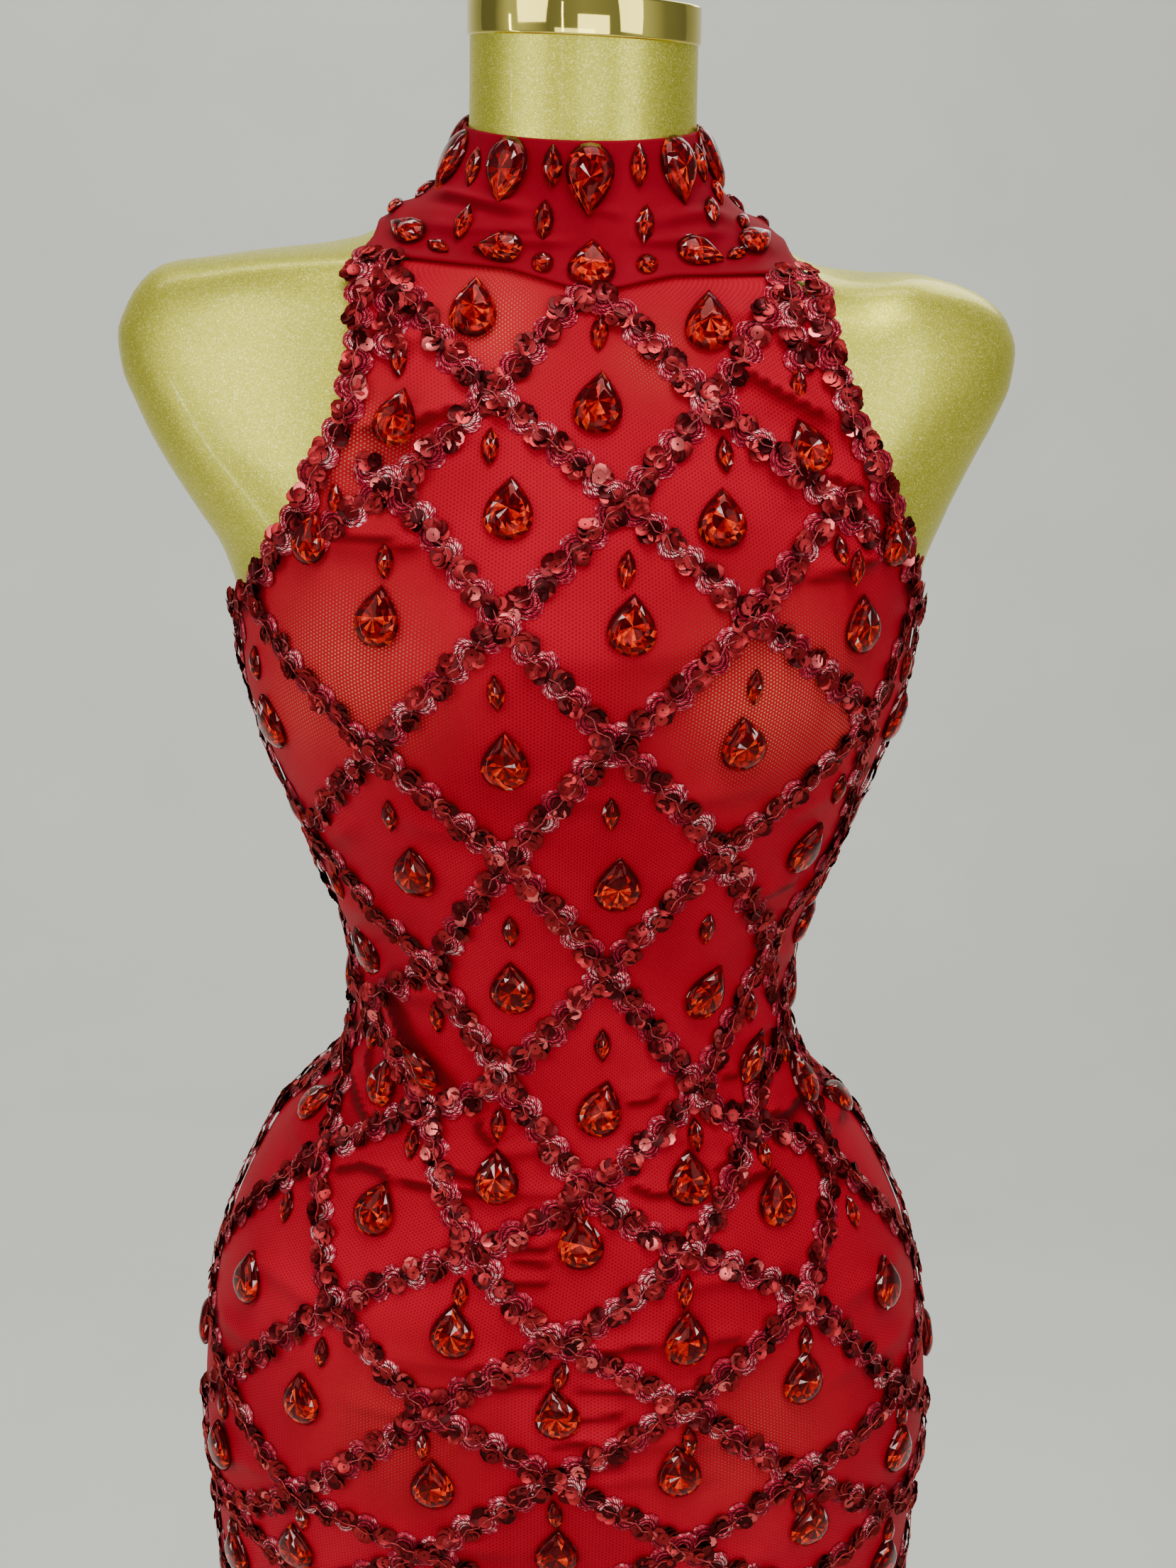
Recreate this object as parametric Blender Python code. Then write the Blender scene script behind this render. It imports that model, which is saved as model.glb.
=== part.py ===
"""A floor length halter gown in stretch mesh, worn by a limbless dress form on a pole and a round base.

The form is drawn by level sections. The gown's cloth is laid out flat as a lattice of diamonds, cut to
its outline, and then wrapped round the form. Metres, +Z up, the front towards -Y, the base on Z = 0.
"""

import functools
import math

import bmesh
import bpy
import numpy as np
from mathutils import Vector

# The dress form by level sections: height, half width, depth in front and depth behind.
SECTIONS = (
    (1.4970, 0.0478, 0.0478, 0.0478),
    (1.4620, 0.0480, 0.0482, 0.0485),
    (1.4400, 0.0555, 0.0500, 0.0540),
    (1.4300, 0.0640, 0.0515, 0.0590),
    (1.4225, 0.0755, 0.0530, 0.0640),
    (1.4160, 0.0850, 0.0545, 0.0670),
    (1.4100, 0.0980, 0.0565, 0.0700),
    (1.4065, 0.1140, 0.0580, 0.0720),
    (1.4040, 0.1340, 0.0595, 0.0735),
    (1.4010, 0.1520, 0.0610, 0.0750),
    (1.3960, 0.1680, 0.0635, 0.0770),
    (1.3890, 0.1790, 0.0670, 0.0790),
    (1.3790, 0.1870, 0.0715, 0.0815),
    (1.3660, 0.1915, 0.0775, 0.0845),
    (1.3520, 0.1900, 0.0840, 0.0870),
    (1.3380, 0.1845, 0.0900, 0.0890),
    (1.3180, 0.1740, 0.0980, 0.0910),
    (1.3000, 0.1640, 0.1050, 0.0920),
    (1.2800, 0.1530, 0.1110, 0.0925),
    (1.2620, 0.1475, 0.1145, 0.0920),
    (1.2450, 0.1455, 0.1150, 0.0910),
    (1.2250, 0.1430, 0.1130, 0.0890),
    (1.2030, 0.1385, 0.1090, 0.0870),
    (1.1540, 0.1200, 0.0985, 0.0800),
    (1.1000, 0.1005, 0.0880, 0.0720),
    (1.0750, 0.0990, 0.0870, 0.0720),
    (1.0550, 0.1030, 0.0890, 0.0750),
    (1.0350, 0.1160, 0.0930, 0.0810),
    (1.0100, 0.1350, 0.0985, 0.0900),
    (0.9500, 0.1610, 0.1080, 0.1100),
    (0.8800, 0.1710, 0.1090, 0.1170),
    (0.8000, 0.1655, 0.1010, 0.1090),
    (0.6500, 0.1510, 0.0950, 0.1010),
    (0.5000, 0.1440, 0.0980, 0.1020),
    (0.3500, 0.1460, 0.1080, 0.1110),
    (0.2000, 0.1580, 0.1290, 0.1310),
    (0.0000, 0.1800, 0.1620, 0.1620),
)
# How square each half of a section is: 2 is an ellipse. Height, front, back.
SQUARENESS = (
    (1.4300, 2.00, 2.00),
    (1.4000, 2.20, 2.20),
    (1.3180, 2.20, 2.20),
    (1.2550, 2.35, 2.10),
    (1.1540, 2.15, 2.10),
    (1.0350, 2.10, 2.10),
    (0.9500, 2.20, 2.10),
    (0.7600, 2.20, 2.10),
    (0.3500, 2.05, 2.05),
    (0.2000, 2.00, 2.00),
)
# How much closer the lattice's columns stand at the centre line than at the sides: height, share.
GATHER = (
    (1.4200, 0.02),
    (1.4065, 0.14),
    (1.3900, 0.22),
    (1.3600, 0.23),
    (1.3180, 0.15),
    (1.2800, 0.05),
    (1.2450, 0.00),
)
# How far the front's centre line is pulled to the side: height, distance.
PULL = (
    (1.4300, 0.002),
    (1.3960, 0.005),
    (1.3400, 0.014),
    (1.2450, 0.018),
    (1.1800, 0.014),
    (1.0750, 0.010),
    (1.0100, 0.005),
    (0.9300, -0.003),
    (0.8000, -0.003),
    (0.6500, 0.000),
)

# The lattice: eight columns of diamonds round the body, two rows to a diamond.
COLUMNS = 8
HALF_ROUND = COLUMNS / 2
FIRST_ROW_HEIGHT = 1.398
ROWS_ABOVE = ((-2, 1.4130), (-1, 1.4055))
# The height of each row of crossings down the centre front, as steps along the cloth.
ROW_STEPS = (
    0.0445, 0.0445, 0.0500, 0.0510, 0.0530, 0.0530, 0.0490, 0.0480,
    0.0350, 0.0330, 0.0330, 0.0330, 0.0345, 0.0370, 0.0400, 0.0420,
)
# How far the rows rise away from the centre line: row, rise at a quarter round, rise at the side.
ROW_RISE = (
    (4, 0.000, 0.000),
    (5, -0.003, 0.000),
    (7, 0.000, 0.000),
    (8, 0.021, 0.012),
    (9, 0.015, 0.004),
    (10, 0.009, -0.012),
    (12, -0.014, -0.020),
    (14, 0.000, 0.000),
)

# The cloth and what is laid on it
GAP = 0.0003
EASE = 0.0020
MESH_WALL = 0.0013
TRIM_WIDTH = 0.0150
TRIM_HEIGHT = 0.0030
HEM_HEIGHT = 0.0160
HEM_STEPS = 18
SIDE_SEAM_COLUMN = 2.25
PEAR_LENGTH, PEAR_WIDTH, PEAR_HEIGHT = 0.0260, 0.0188, 0.0058
PEAR_TABLE = 0.52
# A pear's girdle, point up, in half widths and half lengths
PEAR_OUTLINE = ((0.0, 1.0), (-0.72, 0.22), (-0.86, -0.56), (0.0, -1.0), (0.86, -0.56), (0.72, 0.22))
TOP_PEAR_DROP = 0.27
# The diamonds of the row above the first are cut off by the yoke: they are short and hold no pear.
LEAST_TO_SIDE = 0.020

# The collar's top edge and its seam: column from the centre front, height
COLLAR_TOP = 1.4615
COLLAR_TILT = 0.0065
COLLAR_EASE = 0.0012
COLLAR_WALL = 0.0013
SEAM = (
    (0.00, 1.3960),
    (0.14, 1.3975),
    (0.30, 1.4003),
    (0.50, 1.4028),
    (0.80, 1.4035),
    (1.28, 1.4050),
    (2.00, 1.4135),
    (2.72, 1.4050),
    (3.30, 1.4020),
    (4.00, 1.4000),
)
NAPE_SLIT = 0.0008
COLLAR_LEDGE = 1.4255
# The collar's raised stones: column, height, length, width, turn in degrees from point up
COLLAR_PEARS = (
    (0.00, 1.4395, 0.0255, 0.0190, 180),
    (0.80, 1.4425, 0.0255, 0.0190, 180),
    (1.60, 1.4450, 0.0255, 0.0190, 180),
    (2.40, 1.4480, 0.0255, 0.0190, 180),
    (3.20, 1.4495, 0.0255, 0.0190, 180),
    (0.00, 1.4085, 0.0190, 0.0170, 0),
    (0.78, 1.4125, 0.0180, 0.0130, 80),
    (1.50, 1.4185, 0.0180, 0.0130, 80),
    (2.45, 1.4185, 0.0180, 0.0130, 80),
    (3.20, 1.4125, 0.0180, 0.0130, 80),
)

# The armhole edge: column from the centre front, height. The back's half is the same, mirrored.
ARMHOLE = (
    (1.28, 1.4050),
    (1.12, 1.3920),
    (1.07, 1.3720),
    (1.09, 1.3520),
    (1.17, 1.3320),
    (1.25, 1.3120),
    (1.36, 1.2920),
    (1.56, 1.2720),
    (2.00, 1.2580),
)
ARMHOLE_STATIONS = 15
DOUBLE_TRIM_WIDTH = 0.0280
DOUBLE_TRIM_GAP = 0.0009
# How much a panel's edge follows the form's curve along the armhole, instead of flat facets: height, share
EDGE_ROUNDED = ((1.330, 0.50), (1.360, 0.60), (1.385, 1.00))
# How far in from the edge the panel is back to flat facets
ARMHOLE_BLEND = 0.024
# The double trim's outer points: share of the width, height over the cloth
DOUBLE_TRIM_SHAPE = ((0.0, 0.0016), (0.25, 0.0032), (0.5, 0.0018), (0.75, 0.0032), (1.0, 0.0016))
COLUMN_LENGTH = 0.100

# The nape buttons
NAPE_BUTTONS = 3
BUTTON_RADIUS = 0.0050
BUTTON_HEIGHT = 0.0036
BUTTON_SEAT = 0.0014
BUTTON_COLUMN = 3.86
BUTTON_FIRST_HEIGHT, BUTTON_SPACING = 1.4620, 0.0170

# The dress form and its stand
FORM_SIDES = 24
FORM_LEVELS = (
    1.4970, 1.4800, 1.4620, 1.4500, 1.4400, 1.4300, 1.4225, 1.4160, 1.4100, 1.4065, 1.4040, 1.4010,
    1.3960, 1.3890, 1.3790, 1.3660, 1.3520, 1.3350, 1.3150, 1.2950, 1.2750, 1.2550, 1.2350, 1.2100,
    1.1800, 1.1450, 1.1100, 1.0800, 1.0500, 1.0200, 0.9800, 0.9200, 0.8600, 0.8000, 0.7750,
)
# Where the gown covers the form it is a little smaller, so that it stays clear of the facets
COVERED_INSET, COVERED_FADE = 0.0050, 0.020
COVERED_TOP, UNDERARM_COVERED = 1.400, 1.262
BUST_HEIGHT, BUST_DIP = 1.250, 0.0090
BUST_DIP_WIDTH, BUST_DIP_REACH = 0.024, 0.036
NECK_TOP = FORM_LEVELS[0]
CAP_RADIUS, CAP_HEIGHT, CAP_EDGE = 0.0490, 0.0155, 0.0010
POLE_RADIUS = 0.0125
SOCKET_DEPTH, SOCKET_CLEARANCE = 0.050, 0.0005
BASE_RADIUS, BASE_HEIGHT, BASE_EDGE = 0.140, 0.012, 0.002
FLANGE_RADIUS, FLANGE_HEIGHT = 0.032, 0.010
ROUND_SIDES, POLE_SIDES = 32, 24


def curve(points):
    """A function through (position, value) pairs that doesn't swing past them."""
    x, y = (np.array(side, float) for side in zip(*sorted(points)))
    step = np.diff(x)
    rise = np.diff(y) / step
    slope = np.concatenate([rise[:1], np.zeros(len(x) - 2), rise[-1:]])
    for i in range(1, len(x) - 1):
        if rise[i - 1] * rise[i] > 0:
            before, after = 2 * step[i] + step[i - 1], step[i] + 2 * step[i - 1]
            slope[i] = (before + after) / (before / rise[i - 1] + after / rise[i])

    def value(at):
        at = min(max(at, x[0]), x[-1])
        i = min(max(int(np.searchsorted(x, at, side="right")) - 1, 0), len(x) - 2)
        t = (at - x[i]) / step[i]
        return float(
            (1 + 2 * t) * (1 - t) ** 2 * y[i]
            + t * (1 - t) ** 2 * step[i] * slope[i]
            + t * t * (3 - 2 * t) * y[i + 1]
            + t * t * (t - 1) * step[i] * slope[i + 1]
        )

    return value


def column_of(table, index):
    return curve([(row[0], row[index]) for row in table])


half_width_at, front_at, back_at = (column_of(SECTIONS, i) for i in (1, 2, 3))
front_square_at, back_square_at = (column_of(SQUARENESS, i) for i in (1, 2))
gather_at, pull_at = column_of(GATHER, 1), column_of(PULL, 1)
seam_at, edge_rounded_at = curve(SEAM), curve(EDGE_ROUNDED)


@functools.lru_cache(maxsize=None)
def quarter_line(height, behind):
    """A quarter of a section from the centre line to the side, and the length of cloth to each point."""
    depth = back_at(height) if behind else front_at(height)
    power = 2 / (back_square_at(height) if behind else front_square_at(height))
    turn = np.linspace(0.0, math.pi / 2, 97)
    x = half_width_at(height) * np.sin(turn) ** power
    y = depth * np.cos(turn) ** power
    return x, y, np.concatenate([[0.0], np.cumsum(np.hypot(np.diff(x), np.diff(y)))])


@functools.lru_cache(maxsize=None)
def body_point(column, height):
    """A point of the form. Column 0 is the centre front, 2 the side on +X and 4 the centre back."""
    column = (column + HALF_ROUND) % COLUMNS - HALF_ROUND
    side = 1.0 if column >= 0 else -1.0
    behind = abs(column) > HALF_ROUND / 2
    x, y, length = quarter_line(height, behind)
    share = (HALF_ROUND - abs(column) if behind else abs(column)) / (HALF_ROUND / 2)
    gather = gather_at(height)
    along = side * length[-1] * (share * (1 - gather) + gather * share**3)
    if not behind:
        along += pull_at(height) * (1 - share * share)
    reach = min(abs(along), length[-1])
    across = math.copysign(np.interp(reach, length, x), along)
    away = float(np.interp(reach, length, y))
    return Vector((across, away if behind else -away, height))


@functools.lru_cache(maxsize=None)
def body_normal(column, height):
    along = body_point(column + 0.02, height) - body_point(column - 0.02, height)
    up = body_point(column, height + 0.001) - body_point(column, height - 0.001)
    return along.cross(up).normalized()


def worn_point(column, height, out):
    return body_point(column, height) + out * body_normal(column, height)


def row_heights():
    """The height of each row of crossings at the centre front, down to below the hem."""
    height = np.linspace(FIRST_ROW_HEIGHT, -0.10, 3000)
    depth = np.array([front_at(h) for h in height])
    cloth = np.concatenate([[0.0], np.cumsum(np.hypot(np.diff(height), np.diff(depth)))])
    down, rows = 0.0, []
    while down < cloth[-1]:
        rows.append((len(rows), float(np.interp(down, cloth, height))))
        down += ROW_STEPS[min(len(rows) - 1, len(ROW_STEPS) - 1)]
    return rows


ROWS = row_heights()
row_height = curve(list(ROWS_ABOVE) + ROWS)
quarter_rise, side_rise = column_of(ROW_RISE, 1), column_of(ROW_RISE, 2)
ROW_AT_HEM = next(row for row, height in ROWS if height < HEM_HEIGHT)


def cloth_height(column, row):
    """Rows rise a little away from the centre front, and as much again away from the centre back."""
    round_share = abs((column + HALF_ROUND) % COLUMNS - HALF_ROUND) / HALF_ROUND
    at_quarter = math.sin(2 * math.pi * round_share) ** 2
    at_side = math.sin(math.pi * round_share) ** 4
    return row_height(row) + at_quarter * quarter_rise(row) + at_side * side_rise(row)


def row_of(column, height):
    """The row that lies at this height in this column."""
    low, high = -2.0, float(ROW_AT_HEM + 1)
    for _ in range(40):
        middle = (low + high) / 2
        low, high = (middle, high) if cloth_height(column, middle) > height else (low, middle)
    return low


@functools.lru_cache(maxsize=None)
def knot(half_column, row):
    column = half_column / 2
    height = cloth_height(column, row)
    return body_point(column, height), body_normal(column, height)


def on_cloth(column, row, out):
    """A point over the gown's facets: each diamond is four flat triangles about its centre."""
    across = 2 * column
    a, b = math.floor((across + row) / 2) + 0.5, math.floor((row - across) / 2) + 0.5
    middle_across, middle_row = round(a - b), round(a + b)
    s, t = across - middle_across, row - middle_row
    shares = (
        (1 - abs(s) - abs(t), middle_across, middle_row),
        (abs(s), middle_across + int(math.copysign(1, s)), middle_row),
        (abs(t), middle_across, middle_row + int(math.copysign(1, t))),
    )
    point = Vector((0.0, 0.0, 0.0))
    for share, *at in shares:
        place, normal = knot(*at)
        point += share * (place + out * normal)
    return point


# Flat cloth is a plate: X is the column, Y the row, Z the height over the inside.
FLAT_COLUMN, FLAT_ROW = 0.100, 0.042


def flat_point(column, row, out=0.0):
    return Vector((column * FLAT_COLUMN, -row * FLAT_ROW, out))


class Cloth:
    """A mesh whose points are found again by their place."""

    def __init__(self):
        self.mesh = bmesh.new()
        self.points = {}

    def point(self, place):
        key = tuple(round(value, 7) for value in place)
        if key not in self.points:
            self.points[key] = self.mesh.verts.new(place)
        return self.points[key]

    def face(self, *places):
        corners = list(dict.fromkeys(self.point(place) for place in places))
        if len(corners) > 2:
            self.mesh.faces.new(corners)

    def ring_faces(self, outer, inner):
        """Quads between two rings of as many points, counter-clockwise seen from outside."""
        for i, corner in enumerate(outer):
            after = (i + 1) % len(outer)
            self.face(corner, outer[after], inner[after], inner[i])

    def fan(self, ring, middle, inward=False):
        for i, corner in enumerate(ring):
            following = ring[(i + 1) % len(ring)]
            self.face(*((middle, following, corner) if inward else (middle, corner, following)))


def angle_round(middle, place):
    return math.atan2(place[1] - middle[1], place[0] - middle[0])


def zip_rings(outer, inner, middle):
    """Triangles of plane points between two rings round one middle, counter-clockwise."""
    rings = [sorted(ring, key=lambda place: angle_round(middle, place)) for ring in (outer, inner)]
    angles = [[angle_round(middle, place) for place in ring] for ring in rings]
    at, faces = [0, 0], []

    def following(which):
        i = at[which] + 1
        count = len(rings[which])
        return angles[which][i % count] + 2 * math.pi * (i // count), rings[which][i % count]

    while at[0] < len(rings[0]) or at[1] < len(rings[1]):
        here = [ring[i % len(ring)] for ring, i in zip(rings, at)]
        outer_next, inner_next = following(0), following(1)
        outer_turn = at[1] >= len(rings[1]) or (at[0] < len(rings[0]) and outer_next[0] <= inner_next[0])
        if outer_turn:
            faces.append((here[0], outer_next[1], here[1]))
            at[0] += 1
        else:
            faces.append((here[1], here[0], inner_next[1]))
            at[1] += 1
    return faces


def pear_ring(length, width, turn=0.0, share=1.0):
    """A pear's outline in metres about its middle, counter-clockwise."""
    cosine, sine = math.cos(turn), math.sin(turn)
    ring = []
    for x, y in PEAR_OUTLINE:
        x, y = x * share * width / 2, y * share * length / 2
        ring.append((x * cosine - y * sine, x * sine + y * cosine))
    return ring


def lay_diamond(cloth, half_column, row):
    """One diamond: sloped trim on its four sides, flat mesh inside, and a pear raised in the middle."""
    top, left, bottom, right = (
        (half_column, row - 1), (half_column - 1, row), (half_column, row + 1), (half_column + 1, row),
    )
    half_wide = (knot(*right)[0] - knot(*left)[0]).length / 2
    half_high = (knot(*bottom)[0] - knot(half_column, row)[0]).length
    to_side = half_wide * half_high / math.hypot(half_wide, half_high)
    inset = 1 - TRIM_WIDTH / 2 / max(to_side, LEAST_TO_SIDE)

    def flat(across, down, out):
        return flat_point((half_column + across) / 2, row + down, out)

    around = ((0, -1), (-1, 0), (0, 1), (1, 0))
    ridge = [flat(across, down, MESH_WALL + TRIM_HEIGHT) for across, down in around]
    edge = [flat(across * inset, down * inset, MESH_WALL) for across, down in around]
    cloth.ring_faces(ridge, edge)
    cloth.fan([flat(across, down, 0.0) for across, down in around], flat(0, 0, 0.0), inward=True)

    if row < 0:
        cloth.fan(edge, flat(0, 0, MESH_WALL))
        return [(top, left), (left, bottom), (bottom, right), (right, top)]
    drop = TOP_PEAR_DROP if row == 0 else 0.0
    rings = []
    for share, out in ((1.0, MESH_WALL), (PEAR_TABLE, MESH_WALL + PEAR_HEIGHT)):
        ring = pear_ring(PEAR_LENGTH, PEAR_WIDTH, share=share)
        rings.append([flat(x / half_wide, drop - y / half_high, out) for x, y in ring])
    girdle, table = rings
    for corners in zip_rings(edge, girdle, flat(0, drop, MESH_WALL)):
        cloth.face(*corners)
    cloth.ring_faces(girdle, table)
    cloth.face(*table)
    return [(top, left), (left, bottom), (bottom, right), (right, top)]


def lay_lattice(first_half_column, last_half_column, first_row, last_row):
    """A plate of diamonds with raised trim and stones on a plain inside."""
    cloth = Cloth()
    sides = {}
    for row in range(first_row, last_row + 1):
        for half_column in range(first_half_column, last_half_column + 1):
            if (half_column + row) % 2:
                for a, b in lay_diamond(cloth, half_column, row):
                    sides[frozenset((a, b))] = None if frozenset((a, b)) in sides else (a, b)
    for border in filter(None, sides.values()):
        (a, b), (outs) = border, (MESH_WALL + TRIM_HEIGHT, 0.0)
        upper, lower = ([flat_point(p[0] / 2, p[1], out) for p in (a, b)] for out in outs)
        cloth.face(upper[1], upper[0], lower[0], lower[1])
    return cloth.mesh


def add_object(name, mesh, material):
    data = bpy.data.meshes.new(name)
    bmesh.ops.recalc_face_normals(mesh, faces=mesh.faces)
    mesh.to_mesh(data)
    mesh.free()
    made = bpy.data.objects.new(name, data)
    bpy.context.scene.collection.objects.link(made)
    if material:
        data.materials.append(material)
    return made


def outline_plate(outline):
    """A thick plate of the panel's outline, used to cut the flat cloth."""
    plate = bmesh.new()
    corners = [plate.verts.new(flat_point(column, row, -0.01)) for column, row in outline]
    bottom = plate.faces.new(corners)
    raised = bmesh.ops.extrude_face_region(plate, geom=[bottom])["geom"]
    lifted = [item for item in raised if isinstance(item, bmesh.types.BMVert)]
    bmesh.ops.translate(plate, verts=lifted, vec=(0.0, 0.0, 0.03))
    return plate


def cut_and_wrap(name, lattice, outline, material):
    """Cuts the flat lattice to the outline and wraps it round the form."""
    flat = add_object(name + "_flat", lattice, None)
    cutter = add_object(name + "_outline", outline_plate(outline), None)
    cut = flat.modifiers.new("cut to outline", "BOOLEAN")
    cut.operation = "INTERSECT"
    cut.object = cutter
    graph = bpy.context.evaluated_depsgraph_get()
    panel = bmesh.new()
    panel.from_mesh(flat.evaluated_get(graph).to_mesh())
    for helper in (flat, cutter):
        bpy.data.objects.remove(helper)
    bmesh.ops.triangulate(panel, faces=panel.faces)
    for vertex in panel.verts:
        x, y, out = vertex.co
        vertex.co = panel_point(x / FLAT_COLUMN, -y / FLAT_ROW, EASE + out)
    add_object(name, panel, material)


armhole_edge_at = curve([(height, column) for column, height in ARMHOLE])


def armhole_line():
    """The armhole edge from the front's top to the underarm: column, height, and the way into the cloth."""
    points = [(column * COLUMN_LENGTH, height) for column, height in ARMHOLE]
    lengths = np.concatenate([[0.0], np.cumsum([math.dist(a, b) for a, b in zip(points, points[1:])])])
    across_at = curve(list(zip(lengths, (point[0] for point in points))))
    height_at = curve(list(zip(lengths, (point[1] for point in points))))
    line = []
    for i in range(ARMHOLE_STATIONS):
        here = lengths[-1] * i / (ARMHOLE_STATIONS - 1)
        step = lengths[-1] / 200
        across = across_at(here + step) - across_at(here - step)
        down = height_at(here - step) - height_at(here + step)
        lean = min(max(math.atan2(across, down), 0.0), math.pi / 2) if i < ARMHOLE_STATIONS - 1 else math.pi / 2
        line.append((across_at(here) / COLUMN_LENGTH, height_at(here), lean))
    return line


def trim_place(station, share, width):
    """Column and height at a share of the double trim's width in from the armhole edge."""
    column, height, lean = station
    return (
        column - share * width * math.cos(lean) / COLUMN_LENGTH,
        height - share * width * math.sin(lean),
    )


@functools.lru_cache(maxsize=None)
def panel_armhole():
    """The panels' cut edge inside the double trim: column and height from front to underarm."""
    return [trim_place(station, 1.0, DOUBLE_TRIM_WIDTH + DOUBLE_TRIM_GAP) for station in armhole_line()]


def mixed_point(column, height, out, rounded):
    """A point between the gown's flat facets and the form's own curve."""
    flat = on_cloth(column, row_of(column, height), out)
    return rounded * worn_point(column, height, out) + (1 - rounded) * flat


def panel_point(column, row, out):
    """On the gown's facets, but nearer the form's own curve along the armhole, where the double trim lies."""
    height = cloth_height(column, row)
    folded = abs((column + HALF_ROUND) % COLUMNS - HALF_ROUND)
    folded = min(folded, HALF_ROUND - folded)
    here = np.array((folded * COLUMN_LENGTH, height))
    edge = np.array([(c * COLUMN_LENGTH, h) for c, h in panel_armhole()])
    start, along = edge[:-1], np.diff(edge, axis=0)
    share = np.clip(((here - start) * along).sum(1) / (along * along).sum(1), 0.0, 1.0)
    away = float(np.hypot(*(start + share[:, None] * along - here).T).min())
    return mixed_point(column, height, out, edge_rounded_at(height) * max(1 - away / ARMHOLE_BLEND, 0.0))


def panel_outline(behind):
    """The front's outline as column and row, from its top centre round to the right and back."""

    def on_side(column):
        return HALF_ROUND - column if behind else column

    half = []
    armhole = panel_armhole()
    seam_end = armhole[0][0]
    for i in range(9):
        column = seam_end * i / 9
        half.append((column, seam_at(on_side(column)) - 2 * GAP))
    half.append((seam_end, seam_at(on_side(seam_end)) - 2 * GAP))
    half += armhole[1:]
    side_column = HALF_ROUND - SIDE_SEAM_COLUMN if behind else SIDE_SEAM_COLUMN
    seam_column = side_column - GAP / 2 / COLUMN_LENGTH
    if behind:
        half = [point for point in half if point[0] < seam_column - 0.02]
    else:
        mirrored = [(HALF_ROUND - column, height) for column, height in reversed(armhole[:-1])]
        half += [point for point in mirrored if point[0] < seam_column - 0.02]
    under = side_underarm(side_column, behind)
    half.append((seam_column, under))
    outline = [(column, row_of(on_side(column), height)) for column, height in half]
    first_row = math.floor(outline[-1][1]) + 1
    hem_row = row_of(on_side(seam_column), HEM_HEIGHT)
    outline += [(seam_column, row) for row in np.arange(first_row, hem_row)]
    for column in np.linspace(seam_column, 0.0, HEM_STEPS, endpoint=False):
        outline.append((column, row_of(on_side(column), HEM_HEIGHT)))
    outline += [(-column, row) for column, row in reversed(outline) if column > 0]
    centre = HALF_ROUND if behind else 0.0
    return [(centre + column, row) for column, row in reversed(outline)]


def side_underarm(side_column, behind):
    """The height of the double trim's lower edge at the side seam."""
    from_centre = side_column if behind else HALF_ROUND - side_column
    return float(np.interp(from_centre, *zip(*panel_armhole())))


def make_panels(mesh_cloth):
    edge = int(2 * SIDE_SEAM_COLUMN + 1)
    lattice = lay_lattice(-edge, edge, -1, ROW_AT_HEM)
    cut_and_wrap("front", lattice, panel_outline(False), mesh_cloth)
    back_edge = COLUMNS - edge + 1
    lattice = lay_lattice(back_edge - 1, 2 * COLUMNS - back_edge + 1, -1, ROW_AT_HEM)
    cut_and_wrap("back", lattice, panel_outline(True), mesh_cloth)


def make_armhole_trim(name, side, trim):
    """The gimp trim laid double on its binding, from the yoke's front end under the arm to its back end."""
    front = armhole_line()
    stations = [(station, False) for station in front] + [(station, True) for station in front[-2::-1]]
    binding = Cloth()
    sections = []
    for i, (station, behind) in enumerate(stations):
        ends = i in (0, len(stations) - 1)
        ring = []
        shape = [(share, MESH_WALL + out) for share, out in DOUBLE_TRIM_SHAPE]
        shape += [(share, 0.0) for share in (1.0, 0.5, 0.0)]
        for share, out in shape:
            column, height = trim_place(station, share, DOUBLE_TRIM_WIDTH)
            column = HALF_ROUND - column if behind else column
            if ends:
                height = seam_at(column) - 2 * GAP
            rounded = 1 - share * (1 - edge_rounded_at(height))
            ring.append(mixed_point(side * column, height, EASE + out, rounded))
        sections.append(ring)
    for before, after in zip(sections, sections[1:]):
        binding.ring_faces(before, after)
    binding.face(*sections[0])
    binding.face(*reversed(sections[-1]))
    add_object(name, binding.mesh, trim)


def collar_top(column):
    return COLLAR_TOP - COLLAR_TILT * math.cos(math.pi * column / HALF_ROUND)


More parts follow.
